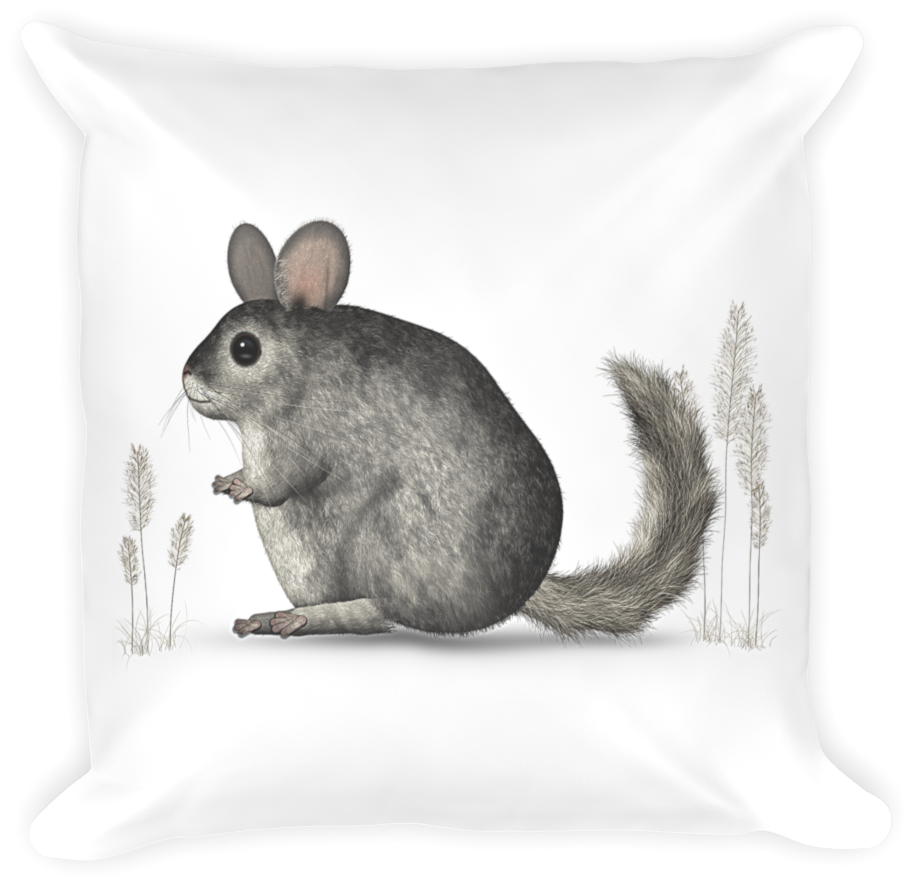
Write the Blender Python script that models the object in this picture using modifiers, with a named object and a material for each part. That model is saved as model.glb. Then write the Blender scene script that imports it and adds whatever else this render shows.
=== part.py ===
"""A square throw pillow, 457 mm (18 in) across its flat cover, lying face up.

Frame: +Z up out of the printed face, +Y towards the top edge of the print, +X to its right.
The origin is at the bottom centre of the pillow's box, on the surface it lies on. Metres.

Pieces: the front and back panels of the sewn cover, each a shell of cloth with a flat seam
margin round its edge, and the stuffed insert inside them. The seam's outline is built from the
four corner ears and the four sides between them, and both panels and the insert are the same
Coons patch over that outline, raised by one crown function.
"""

import math

import bmesh
import bpy
import numpy as np
from mathutils import Vector

MM = 0.001

# ---------------------------------------------------------------- driving sizes, in millimetres
CLOTH = 1.0            # thickness of one panel
SEAM_GAP = 0.3         # between the two panels' seam margins, and round the insert's own seam
MARGIN = 0.0045        # width of the flat seam margin, as a share of the cover's width (about 2 mm)
SEAM_HEIGHT = 62.0     # the seam's height above the surface the pillow lies on
FRONT_RISE = 88.0      # crown of the front panel above the seam
BACK_DROP = 76.0       # crown of the back panel below the seam, if nothing flattened it
FLAT_BLEND = 5.0       # how softly the back meets the surface it rests on
INSERT_GAP = 1.0       # clearance between the insert and the cover's inside
INSERT_REACH = 0.93    # share of the cover's width that the insert fills
INSERT_ROUND = 0.6     # rounding of the insert's corners, which stop short of the ears

PANEL_STEPS = 28       # rows of faces across a panel, besides the two rows of seam margin
INSERT_STEPS = 20
EDGE_CLOSENESS = 0.9   # 0: even rows, 1: rows crowd towards the edges

# How the crown falls from the middle to each side, and what each corner does to it: ridge is how
# sharply the two slopes meet (0 melts them into a plain bulge), sharpen how much more so near the seam,
# bevel how high the slope that fills in between the two stands (the lower, the more it cuts their ridge),
# shift how far their meeting line leans to one side, and reach how high up the crown it still does.
FALL = {"left": 2.50, "right": 2.00, "top": 2.26, "bottom": 2.80}
CORNERS = {
    "top_left": {"ridge": 1.37, "sharpen": -0.21, "bevel": 0.27, "shift": 0.29, "reach": 0.59},
    "top_right": {"ridge": 1.08, "sharpen": -0.32, "bevel": 0.72, "shift": -0.32, "reach": 1.30},
    "bottom_right": {"ridge": 1.03, "sharpen": -0.56, "bevel": 0.67, "shift": 0.36, "reach": 1.44},
    "bottom_left": {"ridge": 1.20, "sharpen": -0.59, "bevel": 0.95, "shift": -0.17, "reach": 0.47},
}

# Each corner of the cover stands out as an ear: a round tip, and two flanks that come in to a neck.
# axis is the way the ear points, in degrees; first and last are met going clockwise from above.
EARS = {
    "top_left": {
        "tip": (-219.6, 211.6), "radius": 8.2, "axis": 139.0, "spread": 72.5, "droop": 1.5,
        "first_neck": (-193.9, 159.6), "first_flank": (-213.1, 183.8),
        "last_flank": (-203.9, 214.6), "last_neck": (-190.9, 209.3),
    },
    "top_right": {
        "tip": (203.9, 208.5), "radius": 9.1, "axis": 37.0, "spread": 72.3, "droop": 1.5,
        "first_neck": (153.6, 202.8), "first_flank": (184.4, 215.4),
        "last_flank": (199.9, 182.9), "last_neck": (181.0, 158.4),
    },
    "bottom_right": {
        "tip": (213.4, -198.6), "radius": 14.3, "axis": -16.2, "spread": 64.1, "droop": 1.5,
        "first_neck": (192.2, -163.4), "first_flank": (212.2, -181.4),
        "last_flank": (187.1, -212.0), "last_neck": (160.5, -203.4),
    },
    "bottom_left": {
        "tip": (-210.9, -205.4), "radius": 12.5, "axis": -149.7, "spread": 62.4, "droop": 1.5,
        "first_neck": (-148.6, -207.6), "first_flank": (-187.3, -218.9),
        "last_flank": (-205.2, -182.8), "last_neck": (-190.6, -171.4),
    },
}
# Between two ears the seam runs on a shallow curve: sag is how far it comes in, wave and lift the
# height of the slow puckers in it, in plan and in height, and crisp how short the turn at its first
# neck and at its last one is (0 leaves it round). dents are single shallow ones, as (where from the side's middle, how deep inwards, half width).
SIDES = {
    "top": {"from": "top_left", "to": "top_right", "sag": 10.8, "skew": 0.3, "wave": 0.8, "turns": 2.1, "phase": 2.0, "lift": 1.5, "crisp": (0.0, 0.0),
        "dents": [(-84, 2.2, 27), (-39, -1.7, 14), (36, 1.1, 18), (118, 1.7, 15), (161, 1.4, 10)]},
    "right": {"from": "top_right", "to": "bottom_right", "sag": 2.1, "skew": -1.7, "wave": -0.6, "turns": 0.6, "phase": -0.9, "lift": 1.2, "crisp": (0.10, 0.0),
        "dents": [(-116, -2.3, 30), (-60, -0.3, 10), (12, 2.2, 42), (27, -2.5, 25), (94, 1.3, 14), (118, 1.1, 55), (124, 4.2, 18), (161, 2.2, 21)]},
    "bottom": {"from": "bottom_right", "to": "bottom_left", "sag": 3.2, "skew": -1.7, "wave": -0.6, "turns": 2.0, "phase": 0.9, "lift": 1.5, "crisp": (0.0, 0.0),
        "dents": [(-155, -2.2, 33), (-83, 1.3, 26), (8, -1.1, 60), (29, 3.0, 19), (139, -0.9, 10)]},
    "left": {"from": "bottom_left", "to": "top_left", "sag": -3.8, "skew": -0.3, "wave": 1.1, "turns": 1.5, "phase": 2.6, "lift": 1.2, "crisp": (0.10, 0.10),
        "dents": [(-114, -1.8, 38), (-40, -1.7, 23), (14, 2.7, 18), (28, -1.8, 22), (78, 1.8, 18), (120, -2.6, 60)]},
}


# ---------------------------------------------------------------- the seam's outline
def through(points, closeness=400):
    """A smooth curve through the points: cubic Hermite spans with chord-length tangents."""
    p = np.array(points, float)
    d = np.r_[0.0, np.cumsum(np.linalg.norm(np.diff(p[:, :2], axis=0), axis=1))]
    m = np.empty_like(p)
    m[1:-1] = (p[2:] - p[:-2]) / (d[2:] - d[:-2])[:, None]
    m[0] = (p[1] - p[0]) / (d[1] - d[0])
    m[-1] = (p[-1] - p[-2]) / (d[-1] - d[-2])
    t = np.linspace(0.0, d[-1], closeness)
    k = np.clip(np.searchsorted(d, t, side="right") - 1, 0, len(d) - 2)
    h = (d[k + 1] - d[k])[:, None]
    s = (t - d[k])[:, None] / h
    return (
        (2 * s**3 - 3 * s**2 + 1) * p[k]
        + (s**3 - 2 * s**2 + s) * h * m[k]
        + (3 * s**2 - 2 * s**3) * p[k + 1]
        + (s**3 - s**2) * h * m[k + 1]
    )


def on_tip(ear, turn):
    """A point on the ear's round tip, turn degrees clockwise from its axis, with its droop."""
    a = math.radians(ear["axis"] - turn)
    return (
        ear["tip"][0] + ear["radius"] * math.cos(a),
        ear["tip"][1] + ear["radius"] * math.sin(a),
        -ear["droop"],
    )


def seam_side(name):
    """The seam from one corner's tip to the next, clockwise, in millimetres about the seam's height."""
    side = SIDES[name]
    a, b = EARS[side["from"]], EARS[side["to"]]
    start, end = Vector(a["last_neck"]), Vector(b["first_neck"])
    along = (end - start).normalized()
    inward = Vector((along.y, -along.x))
    points = [on_tip(a, 0), on_tip(a, a["spread"] * 0.5), on_tip(a, a["spread"])]
    points += [(*a["last_flank"], -0.6 * a["droop"]), (*start, -0.1 * a["droop"])]
    for i in range(1, 24):
        t = i / 24
        bow = math.sin(math.pi * t) * (1 + side["skew"] * math.cos(math.pi * t))
        turn = 2 * math.pi * side["turns"] * t
        pucker = math.sin(turn + side["phase"]) * math.sin(math.pi * t)
        across = (t - 0.5) * (end - start).length
        dent = sum(deep * math.exp(-(((across - at) / wide) ** 2)) for at, deep, wide in side["dents"])
        p = start.lerp(end, t) + inward * (side["sag"] * bow + side["wave"] * pucker + dent * min(1.0, 24 * t, 24 * (1 - t)))
        points.append((p.x, p.y, side["lift"] * math.sin(turn + 1.0) * math.sin(math.pi * t)))
    points += [(*end, -0.1 * b["droop"]), (*b["first_flank"], -0.6 * b["droop"])]
    for i, crisp in ((28, side["crisp"][1]), (4, side["crisp"][0])):
        if crisp:   # the turn at this neck is kept short by points close on both sides of it
            before, neck, after = (Vector(points[i + k]) for k in (-1, 0, 1))
            points[i:i + 1] = [tuple(neck.lerp(before, crisp)), tuple(neck), tuple(neck.lerp(after, crisp))]
    points += [on_tip(b, -b["spread"]), on_tip(b, -b["spread"] * 0.5), on_tip(b, 0)]
    return through(points)


def spaced(curve, shares):
    """Points of the curve at these shares of its length."""
    d = np.r_[0.0, np.cumsum(np.linalg.norm(np.diff(curve, axis=0), axis=1))]
    return np.stack([np.interp(np.asarray(shares) * d[-1], d, curve[:, k]) for k in range(3)], axis=-1)


OUTLINE = {name: seam_side(name) for name in SIDES}


def on_cover(u, v):
    """Where a point of the cover's square lies in plan, and the seam's height there: a Coons patch.
    u runs from the left side to the right, v from the bottom to the top, both 0 to 1."""
    u, v = np.broadcast_arrays(np.asarray(u, float), np.asarray(v, float))
    top, bottom = spaced(OUTLINE["top"], u), spaced(OUTLINE["bottom"][::-1], u)
    left, right = spaced(OUTLINE["left"], v), spaced(OUTLINE["right"][::-1], v)
    c = {
        (i, j): (OUTLINE["bottom"][::-1], OUTLINE["top"])[j][-i]
        for i in (0, 1)
        for j in (0, 1)
    }
    u, v = u[..., None], v[..., None]
    return (
        (1 - v) * bottom + v * top + (1 - u) * left + u * right
        - (1 - u) * (1 - v) * c[0, 0] - u * (1 - v) * c[1, 0]
        - (1 - u) * v * c[0, 1] - u * v * c[1, 1]
    )


# ---------------------------------------------------------------- the crown
def smooth(t):
    t = np.clip(t, 0, 1)
    return t * t * (3 - 2 * t)


EVENED = 22.0          # millimetres over which a side is evened out, as the middle of the cover sees it
EDGE_REACH = 0.15      # share of the cover over which a side's own turns die out


def evened_side(line, axis):
    """A table of a side's places along one axis by its places along the other, with its turns smoothed out."""
    order = np.argsort(line[:, 1 - axis])
    along = np.arange(-230.0, 230.5, 1.0)
    across = np.interp(along, line[order, 1 - axis], line[order, axis])
    reach = int(3 * EVENED)
    weight = np.exp(-0.5 * (np.arange(-reach, reach + 1) / EVENED) ** 2)
    return along, np.convolve(np.pad(across, reach, mode="edge"), weight / weight.sum(), "valid")


def evenly(plan, u, v):
    """How far across and up the cover a place in plan lies, each from 0 on one side to 1 on the other."""
    out = []
    for axis, along, low, high in (
        (0, v, OUTLINE["left"], OUTLINE["right"][::-1]),
        (1, u, OUTLINE["bottom"][::-1], OUTLINE["top"]),
    ):
        place, beside = plan[..., axis], plan[..., 1 - axis]
        a, b = spaced(low, along)[..., axis], spaced(high, along)[..., axis]
        share = np.clip((place - a) / (b - a), 0, 1)
        a, b = np.interp(beside, *evened_side(low, axis)), np.interp(beside, *evened_side(high, axis))
        inside = smooth(np.minimum(share, 1 - share) / EDGE_REACH)
        out.append(share + inside * (np.clip((place - a) / (b - a), 0, 1) - share))
    return out


def crown(plan, u, v):
    """0 on the seam and 1 in the middle: four slopes that melt together towards the corners."""
    u, v = in_margin(*evenly(plan, u, v), MARGIN)
    a = 1 - np.abs(2 * u - 1) ** np.where(u < 0.5, FALL["left"], FALL["right"])
    b = 1 - np.abs(2 * v - 1) ** np.where(v < 0.5, FALL["bottom"], FALL["top"])
    across = {"left": smooth(1 - u), "right": smooth(u)}
    up = {"bottom": smooth(1 - v), "top": smooth(v)}
    ridge = sharpen = bevel = shift = reach = 0
    for name, corner in CORNERS.items():
        end, side = name.split("_")
        share = up[end] * across[side]
        ridge = ridge + corner["ridge"] * share
        sharpen = sharpen + corner["sharpen"] * share
        bevel = bevel + corner["bevel"] * share
        shift = shift + corner["shift"] * share
        reach = reach + corner["reach"] * share
    ridge = np.clip(ridge * (1 + sharpen * (1 - a * b) ** 3), 0.08, 8)
    shift = shift * (1 - smooth(a * b / reach))
    a, b = np.clip(a * (1 + shift), 1e-6, 1), np.clip(b * (1 - shift), 1e-6, 1)
    return (a**-ridge + b**-ridge + (bevel * (a + b)) ** -ridge - 1 - (2 * bevel) ** -ridge) ** (-1 / ridge)


def in_margin(u, v, inner):
    """u and v with the seam margin taken off, so that the crown starts at the margin's inner edge."""
    u = np.clip((np.asarray(u) - inner) / (1 - 2 * inner), 0, 1)
    v = np.clip((np.asarray(v) - inner) / (1 - 2 * inner), 0, 1)
    return u, v


def seam_line(plan, c):
    """The seam's own ups and downs, which die out towards the middle of the cover."""
    return SEAM_HEIGHT + plan[..., 2] * (1 - smooth(1.2 * c))


def front_surface(u, v):
    p = on_cover(u, v)
    c = crown(p, u, v)
    p[..., 2] = seam_line(p, c) + SEAM_GAP / 2 + CLOTH + (FRONT_RISE - CLOTH) * c
    return p


def back_surface(u, v):
    p = on_cover(u, v)
    c = crown(p, u, v)
    z = seam_line(p, c) - SEAM_GAP / 2 - CLOTH - (BACK_DROP - CLOTH) * c
    # the surface it lies on flattens the middle, with a soft bend all round
    soft = np.where(z < FLAT_BLEND, np.where(z > -FLAT_BLEND, (z + FLAT_BLEND) ** 2 / (4 * FLAT_BLEND), 0.0), z)
    p[..., 2] = soft
    return p


# ---------------------------------------------------------------- building
def rows(n):
    """Places of the rows across the cover: one narrow margin at each edge, then closer near the edges."""
    t = np.linspace(0, 1, n + 1)
    close = EDGE_CLOSENESS * (0.5 - 0.5 * np.cos(math.pi * t)) + (1 - EDGE_CLOSENESS) * t
    return np.r_[0.0, MARGIN + (1 - 2 * MARGIN) * close, 1.0]


def finish(name, mesh, collection, colour, roughness):
    material = bpy.data.materials.new(name)
    material.use_nodes = True
    shader = material.node_tree.nodes["Principled BSDF"]
    shader.inputs["Base Color"].default_value = (*colour, 1.0)
    shader.inputs["Roughness"].default_value = roughness
    shader.inputs["Metallic"].default_value = 0.0
    mesh.materials.append(material)
    mesh.shade_smooth()
    piece = bpy.data.objects.new(name, mesh)
    collection.objects.link(piece)
    return piece


def panel(name, surface, facing, collection, colour):
    """One panel of the cover: a grid laid on the surface, then given the cloth's thickness inwards."""
    lines = rows(PANEL_STEPS)
    n = len(lines) - 1
    bm = bmesh.new()
    bmesh.ops.create_grid(bm, x_segments=n, y_segments=n, size=0.5)
    u = lines[[round((v.co.x + 0.5) * n) for v in bm.verts]]
    v = lines[[round((v.co.y + 0.5) * n) for v in bm.verts]]
    for vert, place in zip(bm.verts, surface(u, v)):
        vert.co = Vector(place) * MM
    if facing < 0:
        bmesh.ops.reverse_faces(bm, faces=bm.faces)
    mesh = bpy.data.meshes.new(name)
    bm.to_mesh(mesh)
    bm.free()
    piece = finish(name, mesh, collection, colour, 0.7)
    cloth = piece.modifiers.new("cloth", "SOLIDIFY")
    cloth.thickness = CLOTH * MM
    cloth.offset = -1.0
    return piece


def insert(name, collection, colour):
    """The stuffed insert: a slab grid whose two faces follow the cover's inside and close in a seam of its own."""
    n = INSERT_STEPS
    bm = bmesh.new()
    bmesh.ops.create_grid(bm, x_segments=n, y_segments=n, size=1.0)
    made = bmesh.ops.extrude_face_region(bm, geom=list(bm.faces))
    for vert in (x for x in made["geom"] if isinstance(x, bmesh.types.BMVert)):
        vert.co.z = 1.0
    bmesh.ops.recalc_face_normals(bm, faces=bm.faces)
    top = np.array([v.co.z > 0.5 for v in bm.verts])
    x = np.array([v.co.x for v in bm.verts])
    y = np.array([v.co.y for v in bm.verts])
    # rows crowd towards the rim, where the insert closes
    x, y = (0.75 * np.sin(a * math.pi / 2) + 0.25 * a for a in (x, y))
    u = 0.5 + 0.5 * INSERT_REACH * x * np.sqrt(1 - INSERT_ROUND * y**2 / 2)
    v = 0.5 + 0.5 * INSERT_REACH * y * np.sqrt(1 - INSERT_ROUND * x**2 / 2)
    front, back = front_surface(u, v), back_surface(u, v)
    plan = on_cover(u, v)
    middle = seam_line(plan, crown(plan, u, v))
    clear = CLOTH + INSERT_GAP
    rim = np.sqrt(1 - np.maximum(np.abs(x), np.abs(y)) ** 5)
    up = 0.6 + (front[:, 2] - clear * 1.3 - middle - 0.6) * rim
    down = 0.6 + (middle - back[:, 2] - clear * 1.3 - 0.6) * rim
    place = front.copy()
    place[:, 2] = np.where(top, middle + up, middle - down)
    for vert, p in zip(bm.verts, place):
        vert.co = Vector(p) * MM
    mesh = bpy.data.meshes.new(name)
    bm.to_mesh(mesh)
    bm.free()
    return finish(name, mesh, collection, colour, 0.9)


def main():
    for old in list(bpy.data.objects):
        bpy.data.objects.remove(old)
    pillow = bpy.data.collections.new("throw_pillow")
    bpy.context.scene.collection.children.link(pillow)
    panel("cover_front", front_surface, 1, pillow, (0.86, 0.86, 0.86))
    panel("cover_back", back_surface, -1, pillow, (0.86, 0.86, 0.86))
    insert("insert", pillow, (0.82, 0.82, 0.80))


main()
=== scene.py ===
"""Looks of a square throw pillow that lies face up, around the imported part.

The cover is simulated as cloth: its two panels share a pinned seam, start from the stuffed shape
with its folds, and settle under a little pressure. The settled panels are then laid out again on
fine grids, and the front one carries a printed picture painted here, stroke by stroke, in the
cloth's own flat coordinates: a chinchilla sitting among dry grasses. All sizes are in metres unless
a name or comment says millimetres.
"""

import math

import bpy
import numpy as np
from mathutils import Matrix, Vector

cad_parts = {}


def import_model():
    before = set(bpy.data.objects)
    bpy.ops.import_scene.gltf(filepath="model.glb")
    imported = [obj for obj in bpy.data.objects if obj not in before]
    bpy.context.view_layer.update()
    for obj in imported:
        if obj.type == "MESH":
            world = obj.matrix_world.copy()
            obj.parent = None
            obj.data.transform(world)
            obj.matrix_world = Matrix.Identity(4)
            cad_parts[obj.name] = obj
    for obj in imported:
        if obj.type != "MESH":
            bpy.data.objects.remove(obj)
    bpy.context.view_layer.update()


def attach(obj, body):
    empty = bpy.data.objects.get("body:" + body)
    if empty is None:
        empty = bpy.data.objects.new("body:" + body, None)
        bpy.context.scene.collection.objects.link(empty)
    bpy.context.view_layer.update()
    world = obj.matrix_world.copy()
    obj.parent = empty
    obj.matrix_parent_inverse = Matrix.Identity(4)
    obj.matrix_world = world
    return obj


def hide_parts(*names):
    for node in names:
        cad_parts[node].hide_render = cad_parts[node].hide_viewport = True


MM = 0.001

# ---------------------------------------------------------------- the seam's outline, as in the solids
SEAM_HEIGHT = 62.0
FRONT_RISE = 88.0
BACK_DROP = 76.0
FLAT_BLEND = 5.0
PATTERN = 457.0        # side of a panel laid flat, in millimetres

EARS = {
    "top_left": {
        "tip": (-219.6, 211.6), "radius": 8.2, "axis": 139.0, "spread": 72.5, "droop": 1.5,
        "first_neck": (-193.9, 159.6), "first_flank": (-213.1, 183.8),
        "last_flank": (-203.9, 214.6), "last_neck": (-190.9, 209.3),
    },
    "top_right": {
        "tip": (203.9, 208.5), "radius": 9.1, "axis": 37.0, "spread": 72.3, "droop": 1.5,
        "first_neck": (153.6, 202.8), "first_flank": (184.4, 215.4),
        "last_flank": (199.9, 182.9), "last_neck": (181.0, 158.4),
    },
    "bottom_right": {
        "tip": (213.4, -198.6), "radius": 14.3, "axis": -16.2, "spread": 64.1, "droop": 1.5,
        "first_neck": (192.2, -163.4), "first_flank": (212.2, -181.4),
        "last_flank": (187.1, -212.0), "last_neck": (160.5, -203.4),
    },
    "bottom_left": {
        "tip": (-210.9, -205.4), "radius": 12.5, "axis": -149.7, "spread": 62.4, "droop": 1.5,
        "first_neck": (-148.6, -207.6), "first_flank": (-187.3, -218.9),
        "last_flank": (-205.2, -182.8), "last_neck": (-190.6, -171.4),
    },
}
# Each side bows inwards by sag and waves along its length; dents are single shallow ones, as
# (where from the side's middle, how deep inwards, half width).
SIDES = {
    "top": {"from": "top_left", "to": "top_right", "sag": 10.8, "skew": 0.3, "wave": 0.8, "turns": 2.1, "phase": 2.0, "lift": 1.5, "crisp": (0.0, 0.0),
        "dents": [(-84, 2.2, 27), (-39, -1.7, 14), (36, 1.1, 18), (118, 1.7, 15), (161, 1.4, 10)]},
    "right": {"from": "top_right", "to": "bottom_right", "sag": 2.1, "skew": -1.7, "wave": -0.6, "turns": 0.6, "phase": -0.9, "lift": 1.2, "crisp": (0.10, 0.0),
        "dents": [(-116, -2.3, 30), (-60, -0.3, 10), (12, 2.2, 42), (27, -2.5, 25), (94, 1.3, 14), (118, 1.1, 55), (124, 4.2, 18), (161, 2.2, 21)]},
    "bottom": {"from": "bottom_right", "to": "bottom_left", "sag": 3.2, "skew": -1.7, "wave": -0.6, "turns": 2.0, "phase": 0.9, "lift": 1.5, "crisp": (0.0, 0.0),
        "dents": [(-155, -2.2, 33), (-83, 1.3, 26), (8, -1.1, 60), (29, 3.0, 19), (139, -0.9, 10)]},
    "left": {"from": "bottom_left", "to": "top_left", "sag": -3.8, "skew": -0.3, "wave": 1.1, "turns": 1.5, "phase": 2.6, "lift": 1.2, "crisp": (0.10, 0.10),
        "dents": [(-114, -1.8, 38), (-40, -1.7, 23), (14, 2.7, 18), (28, -1.8, 22), (78, 1.8, 18), (120, -2.6, 60)]},
}


def through(points, closeness=600):
    """A smooth curve through the points: cubic Hermite spans with chord-length tangents."""
    p = np.array(points, float)
    d = np.r_[0.0, np.cumsum(np.linalg.norm(np.diff(p[:, :2], axis=0), axis=1))]
    m = np.empty_like(p)
    m[1:-1] = (p[2:] - p[:-2]) / (d[2:] - d[:-2])[:, None]
    m[0] = (p[1] - p[0]) / (d[1] - d[0])
    m[-1] = (p[-1] - p[-2]) / (d[-1] - d[-2])
    t = np.linspace(0.0, d[-1], closeness)
    k = np.clip(np.searchsorted(d, t, side="right") - 1, 0, len(d) - 2)
    h = (d[k + 1] - d[k])[:, None]
    s = (t - d[k])[:, None] / h
    return (
        (2 * s**3 - 3 * s**2 + 1) * p[k]
        + (s**3 - 2 * s**2 + s) * h * m[k]
        + (3 * s**2 - 2 * s**3) * p[k + 1]
        + (s**3 - s**2) * h * m[k + 1]
    )


def on_tip(ear, turn):
    a = math.radians(ear["axis"] - turn)
    return (
        ear["tip"][0] + ear["radius"] * math.cos(a),
        ear["tip"][1] + ear["radius"] * math.sin(a),
        -ear["droop"],
    )


def seam_side(name):
    """The seam from one corner's tip to the next, clockwise, in millimetres about the seam's height."""
    side = SIDES[name]
    a, b = EARS[side["from"]], EARS[side["to"]]
    start, end = Vector(a["last_neck"]), Vector(b["first_neck"])
    along = (end - start).normalized()
    inward = Vector((along.y, -along.x))
    points = [on_tip(a, 0), on_tip(a, a["spread"] * 0.5), on_tip(a, a["spread"])]
    points += [(*a["last_flank"], -0.6 * a["droop"]), (*start, -0.1 * a["droop"])]
    for i in range(1, 24):
        t = i / 24
        bow = math.sin(math.pi * t) * (1 + side["skew"] * math.cos(math.pi * t))
        turn = 2 * math.pi * side["turns"] * t
        pucker = math.sin(turn + side["phase"]) * math.sin(math.pi * t)
        across = (t - 0.5) * (end - start).length
        dent = sum(deep * math.exp(-(((across - at) / wide) ** 2)) for at, deep, wide in side["dents"])
        p = start.lerp(end, t) + inward * (side["sag"] * bow + side["wave"] * pucker + dent * min(1.0, 24 * t, 24 * (1 - t)))
        points.append((p.x, p.y, side["lift"] * math.sin(turn + 1.0) * math.sin(math.pi * t)))
    points += [(*end, -0.1 * b["droop"]), (*b["first_flank"], -0.6 * b["droop"])]
    for i, crisp in ((28, side["crisp"][1]), (4, side["crisp"][0])):
        if crisp:   # the turn at this neck is kept short by points close on both sides of it
            before, neck, after = (Vector(points[i + k]) for k in (-1, 0, 1))
            points[i:i + 1] = [tuple(neck.lerp(before, crisp)), tuple(neck), tuple(neck.lerp(after, crisp))]
    points += [on_tip(b, -b["spread"]), on_tip(b, -b["spread"] * 0.5), on_tip(b, 0)]
    return through(points)


def spaced(curve, shares):
    """Points of the curve at these shares of its length."""
    d = np.r_[0.0, np.cumsum(np.linalg.norm(np.diff(curve, axis=0), axis=1))]
    return np.stack([np.interp(np.asarray(shares) * d[-1], d, curve[:, k]) for k in range(3)], axis=-1)


OUTLINE = {name: seam_side(name) for name in SIDES}


def on_cover(u, v):
    """Where a point of the cover's square lies, in millimetres: a Coons patch over the seam.
    u runs from the left side to the right, v from the bottom to the top, both 0 to 1."""
    u, v = np.broadcast_arrays(np.asarray(u, float), np.asarray(v, float))
    top, bottom = spaced(OUTLINE["top"], u), spaced(OUTLINE["bottom"][::-1], u)
    left, right = spaced(OUTLINE["left"], v), spaced(OUTLINE["right"][::-1], v)
    c = {(i, j): (OUTLINE["bottom"][::-1], OUTLINE["top"])[j][-i] for i in (0, 1) for j in (0, 1)}
    u, v = u[..., None], v[..., None]
    return (
        (1 - v) * bottom + v * top + (1 - u) * left + u * right
        - (1 - u) * (1 - v) * c[0, 0] - u * (1 - v) * c[1, 0]
        - (1 - u) * v * c[0, 1] - u * v * c[1, 1]
    )


# ---------------------------------------------------------------- the stuffed shape
# How the crown falls from the middle to each side, and what each corner does to it: ridge is how sharply
# the two slopes meet (0 melts them into a plain bulge), sharpen how much more so near the seam, bevel how
# high the slope that fills in between the two stands (the lower, the more it cuts their ridge), shift how
# far their meeting line leans to one side, and reach how high up the crown it still does.
FALL = {"left": 2.50, "right": 2.00, "top": 2.26, "bottom": 2.80}
CORNERS = {
    "top_left": {"ridge": 1.37, "sharpen": -0.21, "bevel": 0.27, "shift": 0.29, "reach": 0.59},
    "top_right": {"ridge": 1.08, "sharpen": -0.32, "bevel": 0.72, "shift": -0.32, "reach": 1.30},
    "bottom_right": {"ridge": 1.03, "sharpen": -0.56, "bevel": 0.67, "shift": 0.36, "reach": 1.44},
    "bottom_left": {"ridge": 1.20, "sharpen": -0.59, "bevel": 0.95, "shift": -0.17, "reach": 0.47},
}

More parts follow.
